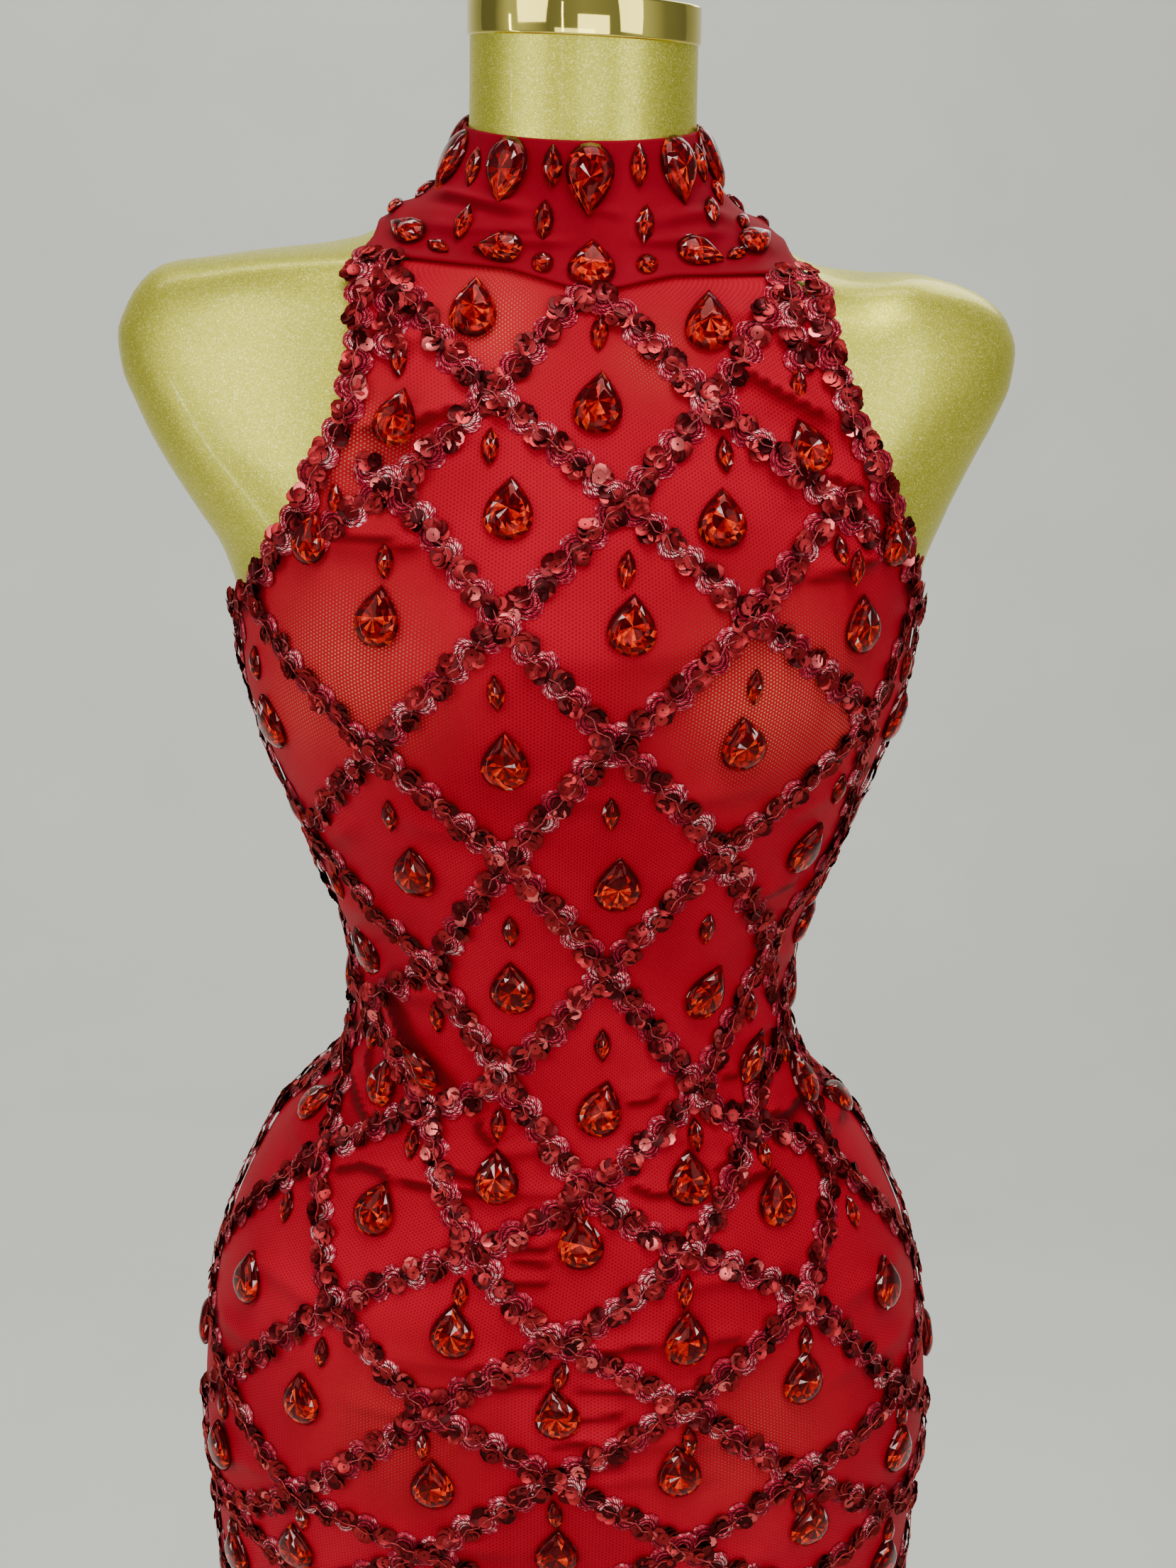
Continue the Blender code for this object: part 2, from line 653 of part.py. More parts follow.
def make_collar(jersey):
    """The mock neck and yoke, open down the nape, with its large stones raised in the outer wall."""
    collar = Cloth()
    outer = COLLAR_EASE + COLLAR_WALL
    nape = HALF_ROUND - NAPE_SLIT / 2 / 0.040
    steps = 40
    columns = [max(-nape, min(nape, -HALF_ROUND + COLUMNS * i / steps)) for i in range(steps + 1)]
    upper_rows, lower_rows = 3, 4

    def level(column, row):
        top, low = collar_top(column), seam_at(abs(column))
        ledge = COLLAR_LEDGE + 0.25 * (low - SEAM[0][1])
        if row <= upper_rows:
            return top + (ledge - top) * row / upper_rows
        return ledge + (low - ledge) * (row - upper_rows) / lower_rows

    rows = upper_rows + lower_rows
    inside = [[worn_point(c, level(c, r), COLLAR_EASE) for c in columns] for r in range(rows + 1)]
    for r in range(rows):
        for i in range(steps):
            collar.face(inside[r][i], inside[r][i + 1], inside[r + 1][i + 1], inside[r + 1][i])

    def outside(i, r):
        return columns[i], level(columns[i], r)

    stones = [(math.copysign(column, side), *rest) for column, *rest in COLLAR_PEARS for side in (1, -1)
              if column or side > 0]
    bands = ((0, upper_rows), (upper_rows, rows))
    bounds = [0] + list(range(2, steps, 4)) + [steps]
    for first, last in bands:
        for start, end in zip(bounds, bounds[1:]):
            ring = [outside(start, r) for r in range(first, last)]
            ring += [outside(i, last) for i in range(start, end)]
            ring += [outside(end, r) for r in range(last, first, -1)]
            ring += [outside(i, first) for i in range(end, start, -1)]
            fill_collar_cell(collar, ring, stones, outer)
    for i in range(steps):
        for r in (0, rows):
            edge = [worn_point(*outside(k, r), outer) for k in (i, i + 1)]
            collar.face(edge[0], edge[1], inside[r][i + 1], inside[r][i])
    for i in (0, steps):
        for r in range(rows):
            edge = [worn_point(*outside(i, k), outer) for k in (r, r + 1)]
            collar.face(edge[0], edge[1], inside[r + 1][i], inside[r][i])
    add_object("collar", collar.mesh, jersey)


def fill_collar_cell(collar, ring, stones, outer):
    """Outer faces of one cell of the collar, round the stone whose middle lies in it, if any."""
    low_column, high_column = min(p[0] for p in ring), max(p[0] for p in ring)
    low, high = min(p[1] for p in ring), max(p[1] for p in ring)
    inside = [s for s in stones if low_column < s[0] < high_column and low < s[1] < high]

    def flat(place):
        return (place[0] * FLAT_COLUMN, place[1] * 2)

    def raised(place, out):
        return worn_point(place[0] / FLAT_COLUMN, place[1] / 2, out)

    edge = [flat(place) for place in ring]
    if not inside:
        middle = flat(((low_column + high_column) / 2, sum(p[1] for p in ring) / len(ring)))
        collar.fan([raised(place, outer) for place in edge], raised(middle, outer))
        return
    column, height, length, width, turn = inside[0]
    step = 0.002
    wide = (body_point(column + 0.05, height) - body_point(column - 0.05, height)).length / 0.1
    high = (body_point(column, height + step) - body_point(column, height - step)).length / (2 * step)
    turn = math.radians(turn) * math.copysign(1, column)
    middle = flat((column, height))
    rings = []
    for share in (1.0, PEAR_TABLE):
        outline = pear_ring(length, width, turn, share)
        rings.append([flat((column + x / wide, height + y / high)) for x, y in outline])
    girdle, table = rings
    for corners in zip_rings(edge, girdle, middle):
        collar.face(*(raised(place, outer) for place in corners))
    girdle = [raised(place, outer) for place in girdle]
    table = [raised(place, outer + PEAR_HEIGHT) for place in table]
    collar.ring_faces(girdle, table)
    collar.face(*table)


def make_nape_buttons(jersey):
    """Covered buttons on the collar beside the nape slit."""
    for number in range(NAPE_BUTTONS):
        height = BUTTON_FIRST_HEIGHT - number * BUTTON_SPACING
        out = COLLAR_EASE + COLLAR_WALL
        normal = body_normal(BUTTON_COLUMN, height)
        seat = worn_point(BUTTON_COLUMN, height, out + BUTTON_SEAT)
        button = bmesh.new()
        bmesh.ops.create_cone(
            button, cap_ends=True, segments=12, radius1=BUTTON_RADIUS, radius2=BUTTON_RADIUS * 0.55,
            depth=BUTTON_HEIGHT,
        )
        bmesh.ops.translate(button, verts=button.verts, vec=(0.0, 0.0, BUTTON_HEIGHT / 2))
        turned = normal.to_track_quat("Z", "Y").to_matrix().to_4x4()
        bmesh.ops.transform(button, matrix=turned, verts=button.verts)
        bmesh.ops.translate(button, verts=button.verts, vec=seat)
        add_object(f"nape_button_{number + 1}", button, jersey)


def form_point(column, height):
    """The form lies a little inside its sections where cloth covers it, and dips between the breasts."""
    place = body_point(column, height)
    from_centre = min(abs(column), HALF_ROUND - abs(column))
    in_armhole = (armhole_edge_at(height) - from_centre) * COLUMN_LENGTH / DOUBLE_TRIM_WIDTH
    covered = min(max(in_armhole, (UNDERARM_COVERED - height) / COVERED_FADE), (COVERED_TOP - height) / COVERED_FADE)
    covered = min(max(covered, 0.0), 1.0)
    beside = math.exp(-((place.x / BUST_DIP_WIDTH) ** 2) - ((height - BUST_HEIGHT) / BUST_DIP_REACH) ** 2)
    inward = covered * COVERED_INSET + (BUST_DIP * beside if place.y < 0 else 0.0)
    return place - inward * body_normal(column, height)


def make_form(paint):
    form = Cloth()
    columns = [-HALF_ROUND + COLUMNS * i / FORM_SIDES for i in range(FORM_SIDES)]
    rings = [[form_point(column, height) for column in columns] for height in FORM_LEVELS]
    for upper, lower in zip(rings, rings[1:]):
        form.ring_faces(upper, lower)
    form.face(*reversed(rings[0]))
    form.face(*rings[-1])
    torso = add_object("form_torso", form.mesh, paint)
    socket = bmesh.new()
    depth = 2 * SOCKET_DEPTH
    bmesh.ops.create_cone(
        socket, cap_ends=True, segments=POLE_SIDES, radius1=POLE_RADIUS + SOCKET_CLEARANCE,
        radius2=POLE_RADIUS + SOCKET_CLEARANCE, depth=depth,
    )
    bmesh.ops.translate(socket, verts=socket.verts, vec=(0.0, 0.0, FORM_LEVELS[-1]))
    cutter = add_object("socket_cutter", socket, None)
    cutter.hide_render = True
    cutter.display_type = "WIRE"
    bore = torso.modifiers.new("pole socket", "BOOLEAN")
    bore.operation = "DIFFERENCE"
    bore.object = cutter


def turned_piece(name, profile, material, sides=ROUND_SIDES):
    """A solid turned round the Z axis from a profile of (radius, height) that starts and ends on the axis."""
    turned = Cloth()
    for i in range(sides):
        angles = [2 * math.pi * k / sides for k in (i, i + 1)]
        for (r0, z0), (r1, z1) in zip(profile, profile[1:]):
            corners = [
                Vector((radius * math.cos(angle), radius * math.sin(angle), height))
                for radius, height, angle in (
                    (r0, z0, angles[0]), (r0, z0, angles[1]), (r1, z1, angles[1]), (r1, z1, angles[0]),
                )
            ]
            turned.face(*corners)
    return add_object(name, turned.mesh, material)


def make_stand(gold, steel):
    low, high = NECK_TOP + GAP, NECK_TOP + GAP + CAP_HEIGHT
    turned_piece(
        "neck_cap",
        ((0.0, low), (CAP_RADIUS, low), (CAP_RADIUS, high - CAP_EDGE), (CAP_RADIUS - CAP_EDGE, high), (0.0, high)),
        gold,
    )
    foot = BASE_HEIGHT + FLANGE_HEIGHT
    turned_piece(
        "base",
        (
            (0.0, 0.0), (BASE_RADIUS - BASE_EDGE, 0.0), (BASE_RADIUS, BASE_EDGE),
            (BASE_RADIUS, BASE_HEIGHT - BASE_EDGE), (BASE_RADIUS - BASE_EDGE, BASE_HEIGHT),
            (FLANGE_RADIUS, BASE_HEIGHT), (FLANGE_RADIUS, foot - BASE_EDGE),
            (FLANGE_RADIUS - BASE_EDGE, foot), (0.0, foot),
        ),
        steel,
    )
    top = FORM_LEVELS[-1] + SOCKET_DEPTH - GAP
    turned_piece(
        "pole",
        ((0.0, foot + GAP), (POLE_RADIUS, foot + GAP), (POLE_RADIUS, top), (0.0, top)),
        steel,
        sides=POLE_SIDES,
    )


def surface(name, colour, roughness, metallic):
    made = bpy.data.materials.new(name)
    made.use_nodes = True
    shader = made.node_tree.nodes["Principled BSDF"]
    shader.inputs["Base Color"].default_value = (*colour, 1.0)
    shader.inputs["Roughness"].default_value = roughness
    shader.inputs["Metallic"].default_value = metallic
    made.diffuse_color = (*colour, 1.0)
    return made


def main():
    for leftover in list(bpy.data.objects):
        bpy.data.objects.remove(leftover)
    mesh_cloth = surface("red stretch mesh", (0.45, 0.008, 0.014), 0.75, 0.0)
    jersey = surface("red jersey", (0.42, 0.006, 0.012), 0.80, 0.0)
    trim = surface("sequin gimp trim", (0.22, 0.010, 0.020), 0.35, 0.6)
    paint = surface("gold flake paint", (0.48, 0.43, 0.12), 0.30, 0.5)
    gold = surface("polished gold", (0.85, 0.62, 0.20), 0.08, 1.0)
    steel = surface("brushed steel", (0.60, 0.60, 0.61), 0.30, 1.0)
    make_panels(mesh_cloth)
    make_collar(jersey)
    make_armhole_trim("armhole_trim_right", 1, trim)
    make_armhole_trim("armhole_trim_left", -1, trim)
    make_nape_buttons(jersey)
    make_form(paint)
    make_stand(gold, steel)


main()
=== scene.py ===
"""The looks of a red halter gown with sequin gimp trim and glass stones, on a gold limbless dress form."""

import math

import bpy
import numpy as np
from mathutils import Matrix, Vector


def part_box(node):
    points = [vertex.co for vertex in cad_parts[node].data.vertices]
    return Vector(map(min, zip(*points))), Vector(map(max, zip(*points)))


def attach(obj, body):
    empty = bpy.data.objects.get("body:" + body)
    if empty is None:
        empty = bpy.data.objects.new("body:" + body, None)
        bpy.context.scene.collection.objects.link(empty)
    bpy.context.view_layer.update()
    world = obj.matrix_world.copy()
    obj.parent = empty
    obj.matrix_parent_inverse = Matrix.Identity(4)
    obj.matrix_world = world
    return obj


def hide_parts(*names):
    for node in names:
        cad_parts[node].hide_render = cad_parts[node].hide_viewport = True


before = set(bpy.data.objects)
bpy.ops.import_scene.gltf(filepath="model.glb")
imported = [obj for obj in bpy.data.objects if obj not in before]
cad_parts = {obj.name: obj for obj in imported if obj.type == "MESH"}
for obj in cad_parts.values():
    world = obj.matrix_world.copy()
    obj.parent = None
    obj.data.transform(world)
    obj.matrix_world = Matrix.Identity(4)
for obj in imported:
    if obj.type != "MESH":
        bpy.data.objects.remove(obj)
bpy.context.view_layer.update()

MM = 0.001

# The dress form by level sections: height, half width, depth in front and depth behind.
SECTIONS = (
    (1.4970, 0.0478, 0.0478, 0.0478),
    (1.4620, 0.0480, 0.0482, 0.0485),
    (1.4400, 0.0555, 0.0500, 0.0540),
    (1.4300, 0.0640, 0.0515, 0.0590),
    (1.4225, 0.0755, 0.0530, 0.0640),
    (1.4160, 0.0850, 0.0545, 0.0670),
    (1.4100, 0.0980, 0.0565, 0.0700),
    (1.4065, 0.1140, 0.0580, 0.0720),
    (1.4040, 0.1340, 0.0595, 0.0735),
    (1.4010, 0.1520, 0.0610, 0.0750),
    (1.3960, 0.1680, 0.0635, 0.0770),
    (1.3890, 0.1790, 0.0670, 0.0790),
    (1.3790, 0.1870, 0.0715, 0.0815),
    (1.3660, 0.1915, 0.0775, 0.0845),
    (1.3520, 0.1900, 0.0840, 0.0870),
    (1.3380, 0.1845, 0.0900, 0.0890),
    (1.3180, 0.1740, 0.0980, 0.0910),
    (1.3000, 0.1640, 0.1050, 0.0920),
    (1.2800, 0.1530, 0.1110, 0.0925),
    (1.2620, 0.1475, 0.1145, 0.0920),
    (1.2450, 0.1455, 0.1150, 0.0910),
    (1.2250, 0.1430, 0.1130, 0.0890),
    (1.2030, 0.1362, 0.1090, 0.0870),
    (1.1540, 0.1174, 0.0985, 0.0800),
    (1.1000, 0.0988, 0.0880, 0.0720),
    (1.0750, 0.0974, 0.0870, 0.0720),
    (1.0550, 0.1014, 0.0890, 0.0750),
    (1.0350, 0.1145, 0.0930, 0.0810),
    (1.0100, 0.1350, 0.0985, 0.0900),
    (0.9500, 0.1610, 0.1080, 0.1100),
    (0.8800, 0.1710, 0.1090, 0.1170),
    (0.8000, 0.1655, 0.1010, 0.1090),
    (0.6500, 0.1510, 0.0950, 0.1010),
    (0.5000, 0.1440, 0.0980, 0.1020),
    (0.3500, 0.1460, 0.1080, 0.1110),
    (0.2000, 0.1580, 0.1290, 0.1310),
    (0.0000, 0.1800, 0.1620, 0.1620),
)
# How square each half of a section is: 2 is an ellipse. Height, front, back.
SQUARENESS = (
    (1.4300, 2.00, 2.00),
    (1.4000, 2.20, 2.20),
    (1.3180, 2.20, 2.20),
    (1.2550, 2.35, 2.10),
    (1.1540, 2.15, 2.10),
    (1.0350, 2.10, 2.10),
    (0.9500, 2.20, 2.10),
    (0.7600, 2.20, 2.10),
    (0.3500, 2.05, 2.05),
    (0.2000, 2.00, 2.00),
)
# How much closer the lattice's columns stand at the centre line than at the sides: height, share.
GATHER = (
    (1.4200, 0.02),
    (1.4065, 0.14),
    (1.3900, 0.22),
    (1.3600, 0.23),
    (1.3180, 0.15),
    (1.2800, 0.05),
    (1.2450, 0.00),
)
# How far the front's centre line is pulled to the side: height, distance.
PULL = (
    (1.4300, 0.002),
    (1.3960, 0.005),
    (1.3400, 0.014),
    (1.2450, 0.018),
    (1.1800, 0.014),
    (1.0750, 0.010),
    (1.0100, 0.005),
    (0.9300, -0.003),
    (0.8000, -0.003),
    (0.6500, 0.000),
)
# The lattice's rows
FIRST_ROW_HEIGHT = 1.398
ROWS_ABOVE = ((-2, 1.4130), (-1, 1.4055))
ROW_STEPS = (
    0.0445, 0.0445, 0.0500, 0.0510, 0.0530, 0.0530, 0.0490, 0.0480,
    0.0350, 0.0330, 0.0330, 0.0330, 0.0345, 0.0370, 0.0400, 0.0420,
)
# How far the rows rise away from the centre line: row, rise at a quarter round, rise at the side.
ROW_RISE = (
    (4, 0.000, 0.000),
    (5, -0.003, 0.000),
    (7, 0.000, 0.000),
    (8, 0.021, 0.012),
    (9, 0.015, 0.004),
    (10, 0.009, -0.012),
    (12, -0.014, -0.020),
    (14, 0.000, 0.000),
)
# The yoke seam: column from the centre front, height
SEAM = (
    (0.00, 1.3960),
    (0.14, 1.3975),
    (0.30, 1.4003),
    (0.50, 1.4028),
    (0.80, 1.4035),
    (1.28, 1.4050),
    (2.00, 1.4135),
    (2.72, 1.4050),
    (3.30, 1.4020),
    (4.00, 1.4000),
)
# The armhole edge: column from the centre front or back, height
ARMHOLE = (
    (1.28, 1.4050),
    (1.12, 1.3920),
    (1.07, 1.3720),
    (1.09, 1.3520),
    (1.17, 1.3320),
    (1.25, 1.3120),
    (1.36, 1.2920),
    (1.56, 1.2720),
    (2.00, 1.2580),
)
COLUMNS, HALF_ROUND, QUARTER_ROUND = 8, 4, 2
COLUMN_LENGTH = 0.100
HEM_HEIGHT = 0.0160
UNDERARM_HEIGHT, SEAM_SHIFT, SEAM_SHIFT_HEIGHT = 1.258, 0.25, 0.060
COLLAR_TOP, COLLAR_TILT = 1.4615, 0.0065
# The yoke seam lies above its table, and more so within these columns of the shoulder's end
SEAM_LIFT, SHOULDER_LIFT, SHOULDER_FROM, SHOULDER_REACH = 0.0010, 0.0035, 0.25, 0.42
# The form's top leans to one side: drop per metre across, the height it starts at and the height it takes to come in
LEAN, LEAN_FROM, LEAN_REACH = 0.033, 1.375, 0.035

# Distances out from the form's sections
CLOTH_OUT, CLOTH_THICK = 1.7 * MM, 0.6 * MM
COLLAR_OUT, COLLAR_THICK = 2.4 * MM, 1.0 * MM
# The creases' tables are multiplied by these depths
CREASE_DEPTH, COLLAR_CREASE_DEPTH = 2.0, 1.9
DEEPEST_TROUGH = 0.8 * MM
COLLAR_COLUMN_LENGTH = 0.045
NECK_RADIUS = 0.048

# The trim
PITCH = 19.5 * MM
SEQUIN_RADIUS = 3.05 * MM


def curve(points):
    """A function through (position, value) pairs that doesn't swing past them. It takes one number or many."""
    x, y = (np.array(side, float) for side in zip(*sorted(points)))
    step = np.diff(x)
    rise = np.diff(y) / step
    slope = np.concatenate([rise[:1], np.zeros(len(x) - 2), rise[-1:]])
    for i in range(1, len(x) - 1):
        if rise[i - 1] * rise[i] > 0:
            before, after = 2 * step[i] + step[i - 1], step[i] + 2 * step[i - 1]
            slope[i] = (before + after) / (before / rise[i - 1] + after / rise[i])

    def value(at):
        at = np.clip(at, x[0], x[-1])
        i = np.clip(np.searchsorted(x, at, side="right") - 1, 0, len(x) - 2)
        t = (at - x[i]) / step[i]
        return (
            (1 + 2 * t) * (1 - t) ** 2 * y[i]
            + t * (1 - t) ** 2 * step[i] * slope[i]
            + t * t * (3 - 2 * t) * y[i + 1]
            + t * t * (t - 1) * step[i] * slope[i + 1]
        )

    return value


def smooth_step(value):
    value = np.clip(value, 0.0, 1.0)
    return value * value * (3 - 2 * value)


def column_of(table, index):
    return curve([(row[0], row[index]) for row in table])


seam_line = curve(SEAM)


def seam_at(column):
    """The yoke seam, which rises at the shoulder's end."""
    from_shoulder = smooth_step((np.abs(np.abs(column) - QUARTER_ROUND) - SHOULDER_FROM) / SHOULDER_REACH)
    return seam_line(column) + SEAM_LIFT + SHOULDER_LIFT * (1 - from_shoulder)


armhole_edge_at = curve([(height, column) for column, height in ARMHOLE])
front_depth_at = column_of(SECTIONS, 2)

# The form's surface as a grid of points and normals, read between its points
GRID_LOW, GRID_HIGH, GRID_STEP = -0.004, 1.500, 0.002
GRID_HEIGHTS = np.arange(GRID_LOW, GRID_HIGH + GRID_STEP / 2, GRID_STEP)
GRID_PER_COLUMN = 40


def form_grid():
    columns = np.arange(COLUMNS * GRID_PER_COLUMN) / GRID_PER_COLUMN - HALF_ROUND
    side = np.where(columns >= 0, 1.0, -1.0)
    behind = np.abs(columns) > QUARTER_ROUND
    share = np.where(behind, HALF_ROUND - np.abs(columns), np.abs(columns)) / QUARTER_ROUND
    half_width = column_of(SECTIONS, 1)(GRID_HEIGHTS)
    depth = [column_of(SECTIONS, i)(GRID_HEIGHTS) for i in (2, 3)]
    square = [column_of(SQUARENESS, i)(GRID_HEIGHTS) for i in (1, 2)]
    gather, pull = column_of(GATHER, 1)(GRID_HEIGHTS), column_of(PULL, 1)(GRID_HEIGHTS)
    turn = np.linspace(0.0, math.pi / 2, 97)
    points = np.zeros((len(GRID_HEIGHTS), len(columns), 3))
    for j, height in enumerate(GRID_HEIGHTS):
        base = side * (share * (1 - gather[j]) + gather[j] * share**3)
        for half, sign in ((0, -1), (1, 1)):
            here = behind if half else ~behind
            power = 2 / square[half][j]
            x = half_width[j] * np.sin(turn) ** power
            y = depth[half][j] * np.cos(turn) ** power
            length = np.concatenate([[0.0], np.cumsum(np.hypot(np.diff(x), np.diff(y)))])
            along = base * length[-1] + (0 if half else pull[j] * (1 - share * share))
            reach = np.minimum(np.abs(along), length[-1])
            points[j, here, 0] = np.copysign(np.interp(reach, length, x), along)[here]
            points[j, here, 1] = sign * np.interp(reach, length, y)[here]
        points[j, :, 2] = height - LEAN * points[j, :, 0] * smooth_step((height - LEAN_FROM) / LEAN_REACH)
    along = np.roll(points, -1, axis=1) - np.roll(points, 1, axis=1)
    up = np.gradient(points, axis=0)
    normals = np.cross(along, up)
    normals /= np.linalg.norm(normals, axis=2, keepdims=True)
    return points, normals


FORM_POINTS, FORM_NORMALS = form_grid()


def read_grid(grid, column, height):
    column, height = np.broadcast_arrays(np.asarray(column, float), np.asarray(height, float))
    across = ((column + HALF_ROUND) % COLUMNS) * GRID_PER_COLUMN
    down = np.clip((height - GRID_LOW) / GRID_STEP, 0, len(GRID_HEIGHTS) - 1.001)
    i, j = np.floor(across).astype(int), np.floor(down).astype(int)
    s, t = (across - i)[..., None], (down - j)[..., None]
    i = i % grid.shape[1]
    after = (i + 1) % grid.shape[1]
    low = grid[j, i] * (1 - s) + grid[j, after] * s
    high = grid[j + 1, i] * (1 - s) + grid[j + 1, after] * s
    return low * (1 - t) + high * t


def form_normal(column, height):
    normal = read_grid(FORM_NORMALS, column, height)
    return normal / np.linalg.norm(normal, axis=-1, keepdims=True)


def over_form(column, height, out):
    """Points at a distance out from the form."""
    return read_grid(FORM_POINTS, column, height) + np.asarray(out)[..., None] * form_normal(column, height)


def lattice_rows():
    height = np.linspace(FIRST_ROW_HEIGHT, -0.10, 3000)
    depth = front_depth_at(height)
    cloth = np.concatenate([[0.0], np.cumsum(np.hypot(np.diff(height), np.diff(depth)))])
    down, rows = 0.0, []
    while down < cloth[-1]:
        rows.append((len(rows), float(np.interp(down, cloth, height))))
        down += ROW_STEPS[min(len(rows) - 1, len(ROW_STEPS) - 1)]
    return rows


ROWS = lattice_rows()
row_height = curve(list(ROWS_ABOVE) + ROWS)
quarter_rise, side_rise = column_of(ROW_RISE, 1), column_of(ROW_RISE, 2)
LAST_ROW = next(row for row, height in ROWS if height < HEM_HEIGHT)


def cloth_height(column, row):
    """Rows rise a little away from the centre front, and as much again away from the centre back."""
    round_share = np.abs((column + HALF_ROUND) % COLUMNS - HALF_ROUND) / HALF_ROUND
    at_quarter = np.sin(2 * math.pi * round_share) ** 2
    at_side = np.sin(math.pi * round_share) ** 4
    return row_height(row) + at_quarter * quarter_rise(row) + at_side * side_rise(row)


# How far the sewn crossings lie off the even lattice: half column and row, then columns round and mm up
KNOT_SHIFTS = {
    (0, 0): (0.00, -3.0), (-1, 1): (-0.02, -1.7), (1, 1): (-0.04, -4.7), (-2, 2): (0.12, 3.3), (0, 2): (0.03, -0.7),
    (2, 2): (-0.04, -2.7), (-1, 3): (0.06, 0.9), (1, 3): (0.03, 2.9), (-2, 4): (0.07, -5.3), (0, 4): (0.00, 2.7),
    (2, 4): (0.20, 3.7), (-1, 5): (0.07, 3.0), (1, 5): (0.05, 6.0), (-2, 6): (0.08, -0.4), (0, 6): (0.05, 1.3),
    (2, 6): (0.13, 4.6), (-1, 7): (-0.01, 0.1), (1, 7): (0.17, -8.9), (-2, 8): (0.11, 4.2), (0, 8): (0.03, 1.2),
    (2, 8): (-0.04, -4.8), (-1, 9): (0.08, -2.0), (1, 9): (-0.01, -1.0), (-2, 10): (0.05, 0.2), (0, 10): (0.00, 1.2),
    (2, 10): (0.02, 6.2), (-1, 11): (0.01, 0.8), (1, 11): (-0.01, 5.8), (-2, 12): (-0.07, -4.8), (0, 12): (0.00, 1.2),
    (2, 12): (-0.03, 14.2), (-3, 13): (-0.05, -2.0), (-1, 13): (-0.02, -1.0), (1, 13): (0.02, 4.0),
    (3, 13): (0.02, 6.0), (-2, 14): (-0.04, -2.0), (2, 14): (0.02, 4.0),
    # the cloth bunched at both sides of the waist
    (-3, 7): (0.09, 22.0), (-4, 8): (0.36, 28.0), (-3, 9): (0.17, 23.0), (3, 7): (-0.01, 11.0), (4, 8): (-0.24, 21.0),
    (3, 9): (-0.12, 23.0), (-5, 9): (0.40, 18.0), (5, 9): (-0.42, 18.0),
}
# How far the pears lie off their diamonds' middles, as above
PEAR_SHIFTS = {
    (0, 1): (-0.04, -1.7), (-2, 1): (0.09, -11.6), (2, 1): (-0.12, -18.4), (-1, 2): (0.02, -2.6), (1, 2): (-0.05, -3.9),
    (0, 3): (0.02, 0.0), (-2, 3): (0.04, 1.7), (2, 3): (0.02, -3.5), (-1, 4): (0.03, -4.2), (1, 4): (-0.05, -0.7),
    (0, 5): (0.03, -10.2), (-2, 5): (0.06, -5.3), (2, 5): (0.03, -1.5), (-1, 6): (-0.01, -7.1), (1, 6): (0.09, -10.8),
    (0, 7): (0.01, -9.8), (-2, 7): (-0.03, -4.3), (-1, 8): (0.04, -6.9), (1, 8): (0.00, -4.6), (0, 9): (0.00, 9.2),
    (-2, 9): (0.02, 5.4), (2, 9): (0.01, 4.9), (-1, 10): (0.03, 1.4), (1, 10): (0.00, -2.6), (-2, 11): (-0.05, 0.5),
    (2, 11): (0.00, 10.0), (-1, 12): (0.04, 3.8), (1, 12): (-0.02, 5.8), (0, 13): (0.01, 0.8), (-2, 13): (-0.07, -6.8),
    (2, 13): (0.03, 5.5),
}
# The share of a diamond's height above its marquise, by row
marquise_share = curve([(1, 0.19), (3, 0.265), (5, 0.285), (6, 0.32), (7, 0.35), (8, 0.27), (9, 0.17), (10, 0.24)])


# Pears that the waist's folds have moved and turned: half column and row, then column, height, width in mm, turn
TURNED_PEARS = {
    (-2, 7): (-0.97, 1.066, 13.0, 52), (-3, 6): (-1.44, 1.109, 17.0, 30), (-3, 8): (-1.21, 1.053, 17.0, -10),
    (-4, 9): (-1.64, 1.030, 17.0, -35), (-4, 7): (-2.12, 1.080, 17.0, 10), (2, 7): (1.10, 1.066, 12.5, -35),
    (3, 6): (1.69, 1.119, 17.0, -30), (3, 8): (1.48, 1.045, 17.0, -8), (4, 9): (1.80, 1.028, 17.0, 50),
    (4, 7): (1.99, 1.080, 17.0, -12), (2, 5): (1.11, 1.166, 18.5, -20), (1, 6): (0.68, 1.103, 19.5, -25),
    (0, 7): (0.07, 1.054, 20.0, -14), (-2, 9): (-0.92, 1.003, 20.0, -15),
}
# Diamonds whose marquise is lost in the waist's folds
NO_MARQUISE = {(-4, 7), (-4, 9), (4, 7), (4, 9)}


def hand_shift(table, half_column, row):
    """The front's shift as its table gives it, and the same one mirrored on the back."""
    half_column = (half_column + COLUMNS) % (2 * COLUMNS) - COLUMNS
    if abs(half_column) <= HALF_ROUND or (half_column, row) in table:
        round_shift, up = table.get((half_column, row), (0.0, 0.0))
        return round_shift, up * MM
    front = int(math.copysign(COLUMNS - abs(half_column), half_column))
    round_shift, up = table.get((front, row), (0.0, 0.0))
    return -round_shift, up * MM


def knot_place(half_column, row):
    round_shift, up = hand_shift(KNOT_SHIFTS, half_column, row)
    return half_column / 2 + round_shift, float(cloth_height(half_column / 2, row)) + up


def folded(column):
    """Columns counted from the centre front or the centre back, whichever is nearer."""
    column = np.abs((column + HALF_ROUND) % COLUMNS - HALF_ROUND)
    return np.minimum(column, HALF_ROUND - column)


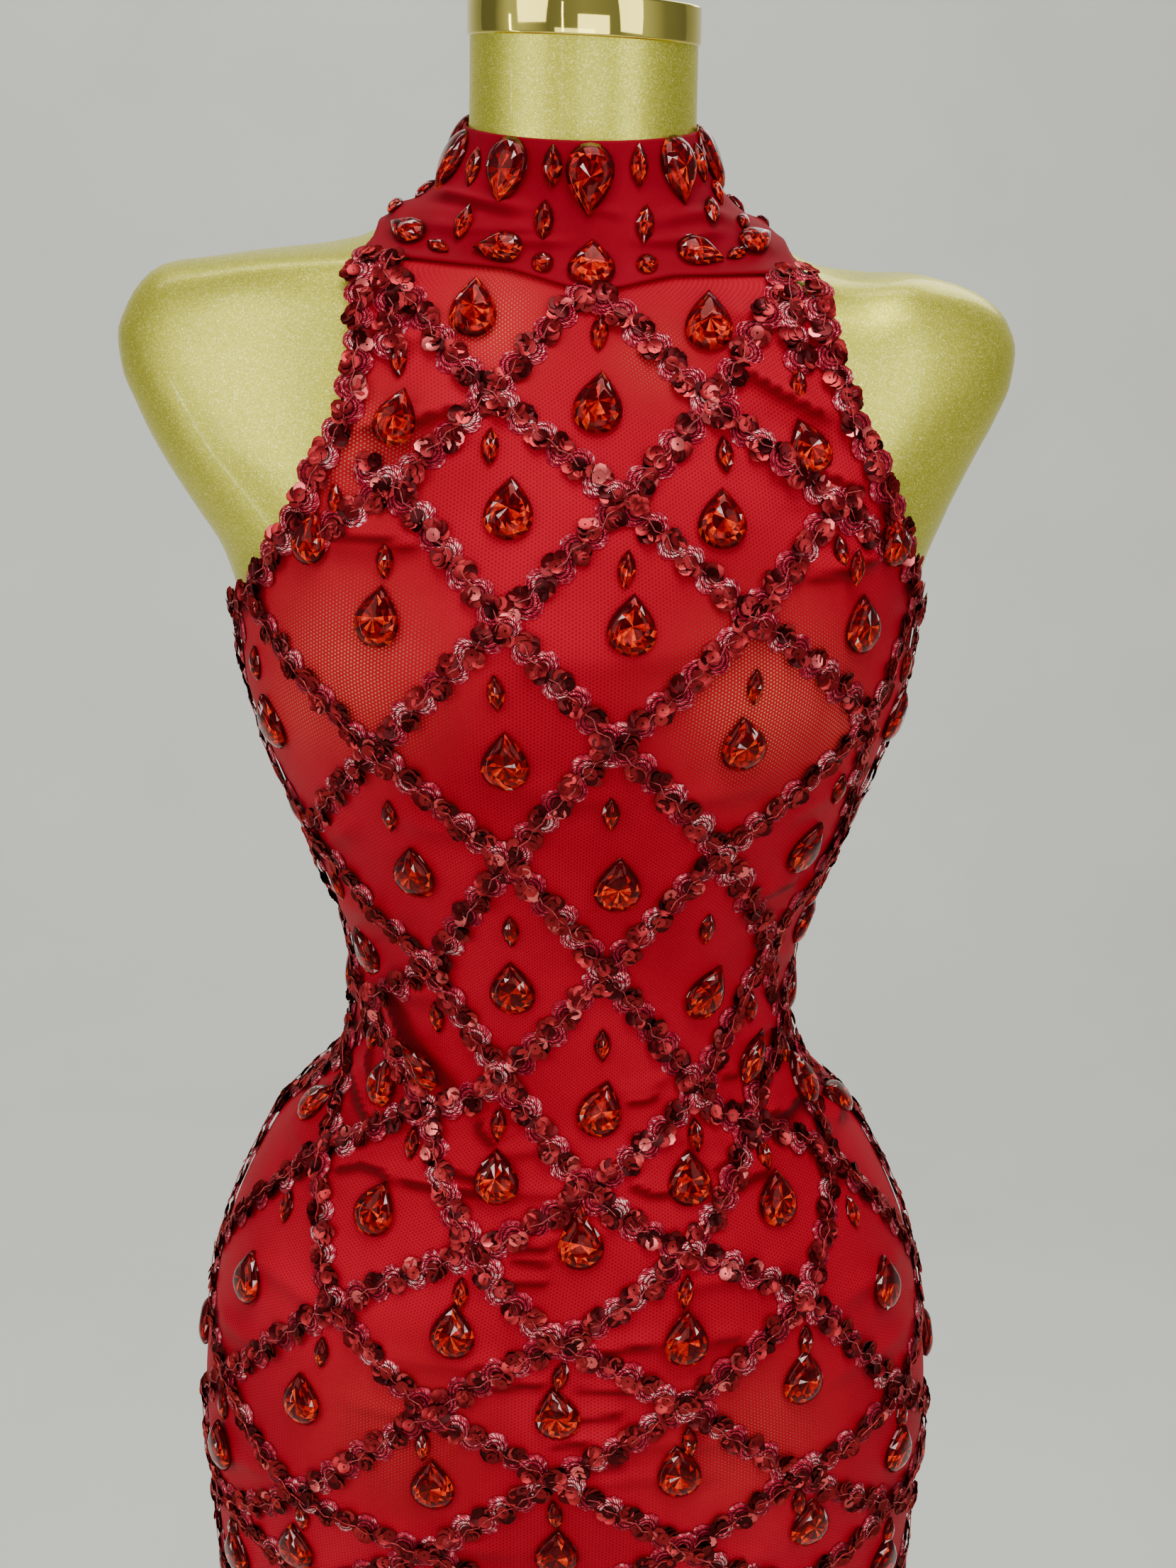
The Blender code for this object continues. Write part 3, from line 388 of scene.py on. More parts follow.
# The main creases: column and height of both ends, half width and depth in mm.
# Ridges stand out, troughs (below zero) go in. The same ones are laid on the back, mirrored.
CREASES = (
    # folds that run in from the right armhole
    (1.02, 1.345, 0.55, 1.372, 4.5, 1.5),
    (1.05, 1.335, 0.62, 1.350, 3.5, -0.7),
    (1.12, 1.318, 0.60, 1.335, 4.5, 1.4),
    (1.16, 1.305, 0.70, 1.312, 3.5, -0.6),
    (1.22, 1.295, 0.74, 1.288, 4.5, 1.1),
    (1.00, 1.384, 0.62, 1.390, 3.5, 0.9),
    # folds under the left armhole
    (-1.06, 1.340, -0.62, 1.352, 4.5, 1.3),
    (-1.12, 1.322, -0.66, 1.322, 3.5, -0.6),
    (-1.20, 1.300, -0.72, 1.296, 5.0, 1.2),
    (-1.02, 1.372, -0.66, 1.382, 3.5, 0.9),
    # bunched cloth at the left of the waist
    (-1.80, 1.118, -0.95, 1.142, 6.0, 1.5),
    (-1.85, 1.104, -0.90, 1.122, 4.0, -0.7),
    (-1.85, 1.088, -0.70, 1.104, 6.5, 1.6),
    (-1.95, 1.070, -0.85, 1.078, 4.0, -0.7),
    (-2.05, 1.056, -0.75, 1.060, 6.5, 1.5),
    (-1.90, 1.038, -0.95, 1.036, 5.5, 1.3),
    (-1.95, 1.020, -1.10, 1.010, 5.0, 1.1),
    (-1.60, 1.160, -1.10, 1.176, 6.0, 1.1),
    # bunched cloth at the right of the waist
    (1.85, 1.100, 1.05, 1.118, 6.0, 1.4),
    (2.00, 1.084, 0.95, 1.096, 4.0, -0.6),
    (1.90, 1.070, 0.90, 1.080, 6.0, 1.5),
    (2.05, 1.050, 0.95, 1.048, 6.0, 1.3),
    (1.95, 1.032, 1.10, 1.022, 5.5, 1.2),
    (1.70, 1.135, 1.20, 1.152, 6.0, 1.0),
    # fine wrinkles over the stomach
    (-0.60, 1.030, -0.05, 1.040, 3.5, 0.8),
    (-0.55, 1.014, 0.15, 1.020, 3.5, 0.9),
    (-0.40, 0.999, 0.25, 1.001, 3.5, 0.8),
    (-0.70, 0.984, -0.10, 0.980, 3.5, 0.7),
    (0.15, 1.045, 0.75, 1.036, 3.5, 0.8),
    (0.10, 1.062, 0.55, 1.066, 3.5, 0.6),
    # level creases over the lower belly and the hips
    (0.30, 0.975, 1.05, 0.982, 4.0, 0.9),
    (0.15, 0.950, 0.95, 0.953, 4.0, 1.0),
    (0.25, 0.930, 0.85, 0.936, 3.5, 0.8),
    (0.00, 0.906, 0.80, 0.903, 4.5, 1.0),
    (0.10, 0.885, 0.65, 0.888, 3.5, 0.8),
    (-0.85, 0.945, -0.15, 0.938, 4.0, 0.8),
    (-0.95, 0.915, -0.25, 0.912, 4.0, 0.9),
    (-1.55, 0.965, -0.95, 0.957, 5.0, 1.1),
    (-1.75, 0.930, -1.05, 0.928, 5.0, 1.1),
    (1.15, 0.958, 1.75, 0.962, 5.0, 1.1),
    (1.05, 0.922, 1.70, 0.930, 5.0, 1.0),
    # pulls between the breasts and under the bust
    (-0.60, 1.262, 0.55, 1.258, 9.0, 1.2),
    (-0.55, 1.205, 0.10, 1.196, 6.0, 0.9),
    (0.20, 1.192, 0.75, 1.204, 6.0, 0.8),
    (-0.95, 1.188, -0.50, 1.176, 5.0, 0.9),
    (0.85, 1.182, 1.20, 1.190, 5.0, 0.8),
    # long soft falls in the skirt
    (-0.55, 0.780, -0.30, 0.080, 16.0, 2.4),
    (0.55, 0.800, 0.42, 0.080, 16.0, 2.2),
    (-1.50, 0.800, -1.22, 0.080, 18.0, 2.8),
    (1.50, 0.790, 1.30, 0.080, 18.0, 2.6),
    (0.02, 0.560, 0.05, 0.060, 14.0, 1.8),
    (-0.95, 0.500, -0.85, 0.050, 13.0, 2.0),
    (0.98, 0.520, 0.90, 0.050, 13.0, 2.0),
    (1.98, 0.700, 1.92, 0.060, 16.0, 2.4),
    (-0.80, 0.855, -0.10, 0.848, 5.0, 0.9),
    (0.20, 0.838, 0.95, 0.842, 5.0, 0.8),
    (-1.80, 0.870, -1.15, 0.862, 5.0, 0.9),
)
# Folds where cloth laps over cloth: a line of columns and heights, its height in mm, and how far back from the
# line the cloth swells in mm. The lapping cloth is on the left of the line's way.
FOLDS = (
    # the left of the waist
    (((-0.70, 1.052), (-0.82, 1.058), (-1.04, 1.068), (-1.14, 1.075), (-1.21, 1.088), (-1.32, 1.101)), 4.6, 12.0),
    (((-1.18, 1.043), (-1.32, 1.050), (-1.44, 1.065)), 2.2, 8.0),
    (((-1.56, 1.051), (-1.31, 1.041), (-1.18, 1.036), (-1.07, 1.038)), 2.8, 10.0),
    (((-1.25, 1.011), (-1.09, 1.018), (-0.97, 1.018), (-0.85, 1.013)), 2.0, 7.0),
    (((-0.79, 1.027), (-0.67, 1.024), (-0.49, 1.022), (-0.35, 1.019)), 2.4, 7.0),
    (((-0.93, 1.017), (-0.78, 1.016), (-0.49, 1.016), (-0.25, 1.018)), 2.0, 6.0),
    (((-0.58, 1.048), (-0.55, 1.042), (-0.44, 1.035)), 1.7, 6.0),
    (((-2.25, 1.062), (-2.00, 1.070), (-1.72, 1.082)), 2.6, 12.0),
    # the right of the waist
    (((1.02, 1.041), (1.10, 1.039), (1.23, 1.037), (1.41, 1.040), (1.74, 1.053)), 4.2, 15.0),
    (((1.02, 1.065), (1.20, 1.059), (1.60, 1.058)), 1.8, 7.0),
    (((0.82, 1.061), (0.98, 1.060)), 1.4, 5.0),
    (((0.86, 1.146), (1.00, 1.147), (1.19, 1.150)), 1.8, 7.0),
    (((0.75, 1.015), (0.88, 1.018), (1.00, 1.018)), 1.8, 6.0),
    (((0.66, 1.024), (0.78, 1.026)), 1.4, 5.0),
    (((0.23, 1.022), (0.34, 1.017), (0.46, 1.016)), 1.8, 6.0),
    (((0.20, 1.056), (0.31, 1.056), (0.42, 1.058)), 1.3, 5.0),
    (((1.60, 1.022), (1.90, 1.024), (2.25, 1.034)), 2.6, 12.0),
    # small folds over the belly and the hips
    (((-0.29, 0.995), (-0.09, 0.994)), 1.6, 5.0),
    (((-0.27, 0.989), (-0.07, 0.987)), 1.3, 4.0),
    (((-0.26, 0.979), (-0.07, 0.979)), 1.3, 5.0),
    (((-0.30, 0.929), (-0.12, 0.933), (-0.02, 0.932)), 1.5, 6.0),
    (((0.05, 0.932), (0.19, 0.931), (0.34, 0.929)), 1.6, 6.0),
    (((0.06, 0.917), (0.27, 0.919)), 1.6, 6.0),
    (((-0.35, 0.941), (-0.14, 0.944)), 1.3, 5.0),
    (((0.10, 0.948), (0.28, 0.951), (0.40, 0.953)), 1.5, 6.0),
    (((0.60, 0.953), (0.74, 0.953)), 1.4, 5.0),
    (((-0.04, 0.904), (0.14, 0.906)), 1.5, 6.0),
    (((0.11, 0.893), (0.28, 0.895)), 1.6, 6.0),
    (((0.10, 1.028), (0.19, 1.032), (0.28, 1.038)), 1.4, 5.0),
    # small folds that run in from the armholes
    (((0.56, 1.371), (0.80, 1.356), (1.02, 1.345)), 1.7, 7.0),
    (((0.60, 1.335), (0.88, 1.328), (1.10, 1.318)), 1.7, 7.0),
    (((0.74, 1.286), (1.00, 1.288), (1.20, 1.295)), 1.5, 7.0),
    (((-1.06, 1.340), (-0.84, 1.344), (-0.62, 1.352)), 1.5, 7.0),
    (((-1.20, 1.300), (-0.95, 1.300), (-0.72, 1.296)), 1.6, 7.0),
)
# Creases of the collar, as above
COLLAR_CREASES = (
    (-1.70, 1.4310, -0.35, 1.4265, 2.6, 1.3),
    (-1.60, 1.4262, -0.30, 1.4215, 2.0, -0.6),
    (-1.40, 1.4190, -0.20, 1.4180, 2.6, 1.1),
    (-0.90, 1.4125, -0.10, 1.4150, 2.2, 0.8),
    (0.45, 1.4225, 1.50, 1.4290, 2.6, 1.0),
    (0.25, 1.4170, 1.20, 1.4195, 2.2, 0.9),
    (-0.10, 1.4300, 0.35, 1.4260, 2.2, 0.6),
    (-2.10, 1.4240, -1.30, 1.4140, 3.0, 1.1),
    (1.20, 1.4130, 2.10, 1.4230, 3.0, 1.0),
)


def creased(table, column, height, column_length):
    """How far the creases of a table lift the cloth."""
    column, height = np.broadcast_arrays(np.asarray(column, float), np.asarray(height, float))
    column = (column + HALF_ROUND) % COLUMNS - HALF_ROUND
    column = np.where(np.abs(column) > QUARTER_ROUND + 0.1, -np.copysign(HALF_ROUND, column) + column, column)
    x, y = column * column_length, height
    lift = np.zeros(x.shape)
    for number, (c0, h0, c1, h1, wide, deep) in enumerate(table):
        start, along = np.array((c0 * column_length, h0)), np.array(((c1 - c0) * column_length, h1 - h0))
        length = math.hypot(*along)
        share = ((x - start[0]) * along[0] + (y - start[1]) * along[1]) / length**2
        bow = 0.035 * length * math.sin(number * 2.1) * np.sin(np.clip(share, 0, 1) * math.pi * 1.5)
        away = ((x - start[0]) * along[1] - (y - start[1]) * along[0]) / length + bow
        ends = np.clip(np.minimum(share + 0.06, 1.06 - share) * 3.2, 0, 1)
        swell = 0.82 + 0.18 * np.sin(share * 5.0 + number)
        lift += deep * MM * ends**1.5 * swell * np.exp(-((away / (wide * MM)) ** 2))
    return lift


# A column's real width at the waist, where most folds lie, and how far the cloth falls away past a fold's line
WAIST_COLUMN_LENGTH = 0.63 * COLUMN_LENGTH
FOLD_EDGE = 1.8 * MM


def folded_over(column, height):
    """How far the lapping folds lift the cloth, which swells towards the fold's line, and the shade just past it."""
    column, height = np.broadcast_arrays(np.asarray(column, float), np.asarray(height, float))
    column = (column + HALF_ROUND) % COLUMNS - HALF_ROUND
    column = np.where(np.abs(column) > QUARTER_ROUND + 0.4, column - np.copysign(HALF_ROUND, column), column)
    x, y = column * WAIST_COLUMN_LENGTH, height
    lift, shade = np.zeros(x.shape), np.zeros(x.shape)
    for line, high, reach in FOLDS:
        points = np.array([(c * WAIST_COLUMN_LENGTH, h) for c, h in line])
        steps = np.diff(points, axis=0)
        lengths = np.hypot(*steps.T)
        total = lengths.sum()
        nearest = np.full(x.shape, np.inf)
        away, share = np.zeros(x.shape), np.zeros(x.shape)
        for i, (start, step, length) in enumerate(zip(points, steps, lengths)):
            t = np.clip(((x - start[0]) * step[0] + (y - start[1]) * step[1]) / length**2, 0, 1)
            off = np.stack([x - start[0] - t * step[0], y - start[1] - t * step[1]])
            distance = np.hypot(*off)
            near = distance < nearest
            side = np.sign(step[0] * off[1] - step[1] * off[0])
            nearest = np.where(near, distance, nearest)
            away = np.where(near, side * distance, away)
            share = np.where(near, (lengths[:i].sum() + t * length) / total, share)
        ends = smooth_step(np.minimum(share, 1 - share) * 5)
        back = np.exp(-((np.maximum(away, 0) / (reach * MM)) ** 1.5))
        swell = np.where(away > 0, back, np.exp(-((away / FOLD_EDGE) ** 2)))
        lift = np.maximum(lift, high * MM * ends * swell)
        dark_wide = np.where(away > 0, 0.7, 1.4 + 0.7 * high) * MM
        past = np.exp(-((away / dark_wide) ** 2))
        shade = np.maximum(shade, min(1.0, 0.42 + 0.14 * high) * ends * past)
    return lift, shade


def cloth_out(column, height):
    lift = CREASE_DEPTH * creased(CREASES, column, height, COLUMN_LENGTH) + folded_over(column, height)[0]
    return CLOTH_OUT + np.maximum(lift, -DEEPEST_TROUGH)


def fold_shade(creases_out, column, height):
    """How dark the folds and the creases' undersides lie: light falls from above and from the left."""
    step, column_step = 1.5 * MM, 0.03
    under = creases_out(column, height + step) - creases_out(column, height - step)
    aside = creases_out(column - column_step, height) - creases_out(column + column_step, height)
    shade = folded_over(column, height)[1] if creases_out is cloth_out else 0.0
    return np.clip(np.maximum(shade, 0.42 * under / (2 * step) + 0.18 * aside / (2 * step)), -0.2, 1.0)


def collar_out(column, height):
    lift = COLLAR_CREASE_DEPTH * creased(COLLAR_CREASES, column, height, COLLAR_COLUMN_LENGTH)
    return COLLAR_OUT + np.maximum(lift, -DEEPEST_TROUGH)


# Materials

def surface(name, colour, roughness, metallic=0.0, **sockets):
    made = bpy.data.materials.new(name)
    made.use_nodes = True
    shader = made.node_tree.nodes["Principled BSDF"]
    shader.inputs["Base Color"].default_value = (*colour, 1.0)
    shader.inputs["Roughness"].default_value = roughness
    shader.inputs["Metallic"].default_value = metallic
    for socket, value in sockets.items():
        shader.inputs[socket.replace("_", " ")].default_value = value
    return made


class Nodes:
    """Short ways to add and join a material's nodes."""

    def __init__(self, material):
        self.tree = material.node_tree
        self.shader = self.tree.nodes["Principled BSDF"]

    def add(self, kind, **values):
        node = self.tree.nodes.new(kind)
        for name, value in values.items():
            setattr(node, name, value)
        return node

    def join(self, source, target):
        """Joins an output to an input, or to the main shader's input of that name."""
        self.tree.links.new(source, self.shader.inputs[target] if isinstance(target, str) else target)

    def attribute(self, name):
        return self.add("ShaderNodeAttribute", attribute_name=name)

    def place(self, uv=False):
        return self.add("ShaderNodeTexCoord").outputs["UV" if uv else "Object"]

    def value(self, kind, first, second=0.0, third=0.0):
        node = self.add("ShaderNodeMath", operation=kind)
        for socket, given in zip(node.inputs, (first, second, third)):
            if isinstance(given, (int, float)):
                socket.default_value = given
            else:
                self.join(given, socket)
        return node.outputs[0]

    def noise(self, place, scale, detail):
        node = self.add("ShaderNodeTexNoise")
        self.join(place, node.inputs["Vector"])
        node.inputs["Scale"].default_value = scale
        node.inputs["Detail"].default_value = detail
        return node.outputs[0]

    def ramp(self, value, stops):
        """Colours by value. One number as a colour is a grey."""
        node = self.add("ShaderNodeValToRGB")
        while len(node.color_ramp.elements) < len(stops):
            node.color_ramp.elements.new(0.5)
        for element, (place, colour) in zip(node.color_ramp.elements, stops):
            element.position = place
            element.color = (colour, colour, colour, 1.0) if isinstance(colour, float) else (*colour, 1.0)
        self.join(value, node.inputs[0])
        return node.outputs[0]

    def mix(self, share, first, second, kind="MIX"):
        node = self.add("ShaderNodeMix", data_type="RGBA", blend_type=kind)
        for socket, given in zip((node.inputs[0], node.inputs[6], node.inputs[7]), (share, first, second)):
            if isinstance(given, tuple):
                socket.default_value = (*given, 1.0)
            elif isinstance(given, (int, float)):
                socket.default_value = given
            else:
                self.join(given, socket)
        return node.outputs[2]

    def shaded(self, colour):
        """The colour with painted shade: darker where the attribute of the folds' shade is high, and a little lighter,
        as painted light, where it falls below zero on slopes that face the light.
        """
        shade = self.value("MULTIPLY_ADD", self.attribute("shade").outputs["Fac"], 0.5, 0.5)
        dark = self.ramp(shade, ((0.40, 1.12), (0.50, 1.0), (0.72, (0.42, 0.30, 0.34)), (1.0, (0.13, 0.06, 0.08))))
        return self.mix(1.0, colour, dark, "MULTIPLY")

    def bump(self, height, strength, distance):
        node = self.add("ShaderNodeBump")
        node.inputs["Strength"].default_value = strength
        node.inputs["Distance"].default_value = distance
        self.join(height, node.inputs["Height"])
        self.join(node.outputs[0], "Normal")

    def net(self, place, pitch):
        """Bright dots in rows that are shifted by half, as the holes of a knitted net: 0 on threads, 1 in holes."""
        split = self.add("ShaderNodeSeparateXYZ")
        self.join(place, split.inputs[0])
        waves = []
        for angle in (0.0, 60.0, 120.0):
            turn = math.radians(angle)
            across = self.value("MULTIPLY", split.outputs[0], 2 * math.pi / pitch * math.cos(turn))
            both = self.value("MULTIPLY_ADD", split.outputs[1], 2 * math.pi / pitch * math.sin(turn), across)
            waves.append(self.value("COSINE", both))
        total = self.value("ADD", self.value("ADD", waves[0], waves[1]), waves[2])
        # three waves add up to between -1.5 and 3, which is brought to 0 to 1
        return self.value("MULTIPLY_ADD", total, 0.2222, 0.3333)


RED_SHEEN = {
    "Sheen_Weight": 0.08, "Sheen_Roughness": 0.40, "Sheen_Tint": (1.0, 0.05, 0.08, 1.0),
    "Specular_IOR_Level": 0.18, "Specular_Tint": (1.0, 0.15, 0.18, 1.0),
}


def mesh_cloth():
    made = surface("red stretch mesh", (0.37, 0.002, 0.015), 0.62, **RED_SHEEN)
    nodes = Nodes(made)
    uv, place = nodes.place(uv=True), nodes.place()
    holes = nodes.net(uv, 1.35 * MM)
    cloudy = nodes.noise(place, 14.0, 4.0)
    red = nodes.ramp(
        cloudy, ((0.30, (0.285, 0.0010, 0.011)), (0.52, (0.345, 0.0016, 0.0140)), (0.72, (0.405, 0.0030, 0.018)))
    )
    thread = nodes.ramp(holes, ((0.0, 1.0), (0.75, (0.66, 0.55, 0.60))))
    plain = nodes.mix(1.0, red, thread, "MULTIPLY")
    stretch = nodes.attribute("stretch").outputs["Fac"]
    through = nodes.ramp(
        holes, ((0.25, (0.42, 0.010, 0.018)), (0.58, (0.56, 0.070, 0.030)), (0.92, (0.98, 0.60, 0.24)))
    )
    uneven = nodes.value("MULTIPLY", stretch, nodes.value("MULTIPLY_ADD", nodes.noise(place, 60.0, 2.0), 0.9, 0.55))
    nodes.join(nodes.shaded(nodes.mix(uneven, plain, through)), "Base Color")
    nodes.bump(holes, 0.35, 0.25 * MM)
    return made


def jersey_cloth():
    made = surface("red jersey", (0.20, 0.001, 0.009), 0.72, **RED_SHEEN)
    nodes = Nodes(made)
    uv, place = nodes.place(uv=True), nodes.place()
    knit = nodes.net(uv, 0.70 * MM)
    cloudy = nodes.noise(place, 22.0, 4.0)
    red = nodes.ramp(
        cloudy, ((0.30, (0.155, 0.0004, 0.006)), (0.55, (0.195, 0.0007, 0.0085)), (0.75, (0.240, 0.0014, 0.011)))
    )
    thread = nodes.ramp(knit, ((0.0, 1.0), (0.8, (0.82, 0.78, 0.78))))
    nodes.join(nodes.shaded(nodes.mix(1.0, red, thread, "MULTIPLY")), "Base Color")
    nodes.bump(knit, 0.30, 0.12 * MM)
    return made


def scallop_threads():
    """Rings of metallic yarn: the UV's Y runs from the middle of the scallop to its rim. Its colour holds painted
    light: glints and highlights along the strands, and painted shade in the gaps between the rings.
    """
    made = surface("metallic gimp yarn", (0.3, 0.02, 0.06), 0.38, 0.50, Specular_Tint=(1.0, 0.20, 0.24, 1.0))
    nodes = Nodes(made)
    split = nodes.add("ShaderNodeSeparateXYZ")
    nodes.join(nodes.place(uv=True), split.inputs[0])
    along, ring = split.outputs[0], split.outputs[1]
    rings = nodes.value("PINGPONG", nodes.value("MULTIPLY", ring, 6.4), 1.0)
    # The yarn's twist gives the strands their relief, and also paints highlights along them.
    twist_and_highlight = nodes.value("SINE", nodes.value("MULTIPLY_ADD", ring, 30.0, nodes.value("MULTIPLY", along, 78.0)))
    place = nodes.place()
    glint = nodes.noise(place, 520.0, 2.0)
    copy_draw = nodes.attribute("copy_draw").outputs["Fac"]
    yarn = nodes.ramp(
        nodes.value("MULTIPLY_ADD", twist_and_highlight, 0.16, nodes.value("MULTIPLY_ADD", copy_draw, 0.35, glint)),
        (
            (0.36, (0.10, 0.001, 0.007)), (0.56, (0.25, 0.004, 0.018)), (0.76, (0.45, 0.014, 0.044)),
            (0.90, (0.70, 0.100, 0.13)), (0.98, (0.95, 0.66, 0.62)),
        ),
    )
    # Painted shade in the gaps between the rings of yarn.
    dark = nodes.ramp(rings, ((0.14, (0.10, 0.03, 0.04)), (0.55, 1.0)))
    # The outer strand: silvery yarn with painted glints.
    silver_and_glints = nodes.ramp(glint, ((0.44, (0.28, 0.006, 0.024)), (0.60, (0.52, 0.045, 0.078)), (0.74, (0.92, 0.56, 0.54))))
    outer = nodes.ramp(ring, ((0.80, 0.0), (0.88, 0.75), (0.98, 0.75)))
    edged = nodes.mix(outer, nodes.mix(1.0, yarn, dark, "MULTIPLY"), silver_and_glints)
    nodes.join(edged, "Base Color")
    height = nodes.value("MULTIPLY_ADD", twist_and_highlight, 0.12, rings)
    nodes.bump(height, 0.9, 0.55 * MM)
    return made


def sequin_foil():
    """Crimson foil discs with a needle hole in the middle, each with a colour drawn at random from near black to a rare
    pink: painted shade and painted glints for discs turned from or towards the light.
    """
    made = surface(
        "crimson sequin", (0.2, 0.01, 0.02), 0.26, 0.85, Coat_Weight=0.05, Coat_Roughness=0.08,
        Specular_Tint=(1.0, 0.30, 0.30, 1.0),
    )
    nodes = Nodes(made)
    split = nodes.add("ShaderNodeSeparateXYZ")
    nodes.join(nodes.place(uv=True), split.inputs[0])
    copy_draw = nodes.attribute("copy_draw").outputs["Fac"]
    # Painted light: the darkest discs stand in for discs in shade, the rare pink ones for discs that catch the light.
    foil = nodes.ramp(
        copy_draw,
        (
            (0.00, (0.022, 0.0006, 0.0014)), (0.26, (0.060, 0.0015, 0.003)), (0.40, (0.14, 0.004, 0.007)),
            (0.72, (0.22, 0.009, 0.013)), (0.93, (0.33, 0.018, 0.022)), (0.97, (0.72, 0.12, 0.12)),
        ),
    )
    hole = nodes.ramp(split.outputs[1], ((0.13, (0.05, 0.02, 0.02)), (0.20, 1.0)))
    rim = nodes.ramp(split.outputs[1], ((0.86, 1.0), (0.98, (0.62, 0.55, 0.55))))
    nodes.join(nodes.mix(1.0, nodes.mix(1.0, foil, hole, "MULTIPLY"), rim, "MULTIPLY"), "Base Color")
    return made


def cut_glass():
    made = surface(
        "red cut glass", (0.2, 0.004, 0.004), 0.06, 0.0, IOR=1.60, Specular_IOR_Level=0.24, Coat_Weight=0.07,
        Coat_Roughness=0.02, Specular_Tint=(1.0, 0.10, 0.07, 1.0),
    )
    nodes = Nodes(made)
    # The facet attribute holds the glass's own red with painted light: dark and lit facets, fire and glints.
    facet = nodes.attribute("facet").outputs["Color"]
    streak = nodes.ramp(
        nodes.noise(nodes.place(), 640.0, 2.0),
        ((0.36, (0.52, 0.44, 0.46)), (0.50, (0.92, 0.88, 0.88)), (0.66, (1.20, 1.15, 1.10))),
    )
    nodes.join(nodes.mix(1.0, facet, streak, "MULTIPLY"), "Base Color")
    return made


def gold_flake():
    made = surface(
        "gold flake paint", (0.46, 0.44, 0.05), 0.38, 0.70, Coat_Weight=0.28, Coat_Roughness=0.05, Coat_IOR=1.40,
        Specular_Tint=(0.90, 0.86, 0.50, 1.0),
    )
    nodes = Nodes(made)
    place = nodes.place()
    flakes = nodes.add("ShaderNodeTexVoronoi")
    flakes.inputs["Scale"].default_value = 2200.0
    nodes.join(place, flakes.inputs["Vector"])
    split = nodes.add("ShaderNodeSeparateColor")
    nodes.join(flakes.outputs["Color"], split.inputs[0])
    flake = nodes.ramp(
        split.outputs[0],
        (
            (0.0, (0.46, 0.430, 0.036)), (0.55, (0.57, 0.545, 0.052)),
            (0.90, (0.70, 0.675, 0.092)), (1.0, (0.95, 0.93, 0.30)),
        ),
    )
    cloudy = nodes.ramp(nodes.noise(place, 5.0, 2.0), ((0.3, 0.92), (0.7, 1.0)))
    nodes.join(nodes.mix(1.0, flake, cloudy, "MULTIPLY"), "Base Color")
    rough = nodes.ramp(split.outputs[1], ((0.0, 0.30), (1.0, 0.42)))
    nodes.join(rough, "Roughness")
    nodes.bump(split.outputs[2], 0.05, 0.1 * MM)
    return made


def polished_gold():
    made = surface("polished gold", (0.80, 0.68, 0.14), 0.045, 1.0)
    nodes = Nodes(made)
    rough = nodes.ramp(nodes.noise(nodes.place(), 60.0, 4.0), ((0.3, 0.03), (0.8, 0.09)))
    nodes.join(rough, "Roughness")
    return made


def brushed_steel():
    made = surface("brushed steel", (0.58, 0.58, 0.59), 0.32, 1.0)
    nodes = Nodes(made)
    stretch = nodes.add("ShaderNodeMapping")
    stretch.inputs["Scale"].default_value = (900.0, 900.0, 25.0)
    nodes.join(nodes.place(), stretch.inputs["Vector"])
    grain = nodes.noise(stretch.outputs[0], 1.0, 3.0)
    nodes.join(nodes.ramp(grain, ((0.3, 0.22), (0.7, 0.45))), "Roughness")
    nodes.join(nodes.ramp(grain, ((0.3, (0.50, 0.50, 0.51)), (0.7, (0.64, 0.64, 0.65)))), "Base Color")
    return made


def silk_thread():
    made = surface("red thread", (0.45, 0.02, 0.03), 0.42, Sheen_Weight=0.15, Specular_Tint=(1.0, 0.30, 0.30, 1.0))
    nodes = Nodes(made)
    glint = nodes.noise(nodes.place(), 700.0, 2.0)
    nodes.join(
        nodes.ramp(glint, ((0.35, (0.20, 0.004, 0.010)), (0.55, (0.40, 0.014, 0.022)), (0.75, (0.66, 0.09, 0.08)))),
        "Base Color",
    )
    return made


def pale_paper():
    made = surface("pale backdrop", (0.66, 0.66, 0.645), 0.9)
    nodes = Nodes(made)
    grain = nodes.noise(nodes.place(), 3.0, 3.0)
    nodes.join(nodes.ramp(grain, ((0.3, (0.655, 0.660, 0.600)), (0.7, (0.695, 0.700, 0.640)))), "Base Color")
    return made


# Ways to make pieces

def select_only(piece=None):
    if bpy.context.object and bpy.context.object.mode != "OBJECT":
        bpy.ops.object.mode_set(mode="OBJECT")
    bpy.ops.object.select_all(action="DESELECT")
    if piece:
        piece.select_set(True)
        bpy.context.view_layer.objects.active = piece


def named(name):
    piece = bpy.context.object
    piece.name = piece.data.name = name
    return piece


def put_in_scene(name, data):
    placed = bpy.data.objects.new(name, data)
    bpy.context.scene.collection.objects.link(placed)
    return placed


def settle(piece):
    """Applies a piece's place, turn and scale to its mesh."""
    select_only(piece)
    bpy.ops.object.transform_apply(location=True, rotation=True, scale=True)


def apply_modifier(piece, kind, **values):
    select_only(piece)
    bpy.ops.object.modifier_add(type=kind)
    modifier = piece.modifiers[-1]
    for name, value in values.items():
        setattr(modifier, name, value)
    bpy.ops.object.modifier_apply(modifier=modifier.name)


def finish_piece(piece, material, slot, *replaced):
    piece.data.materials.clear()
    piece.data.materials.append(material)
    if replaced:
        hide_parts(*replaced)
    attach(piece, "root")
    return piece


def smooth(piece, angle=180.0):
    select_only(piece)
    bpy.ops.object.shade_smooth_by_angle(angle=math.radians(angle))


def read_points(mesh):
    places = np.zeros(len(mesh.vertices) * 3)
    mesh.vertices.foreach_get("co", places)
    return places.reshape(-1, 3)


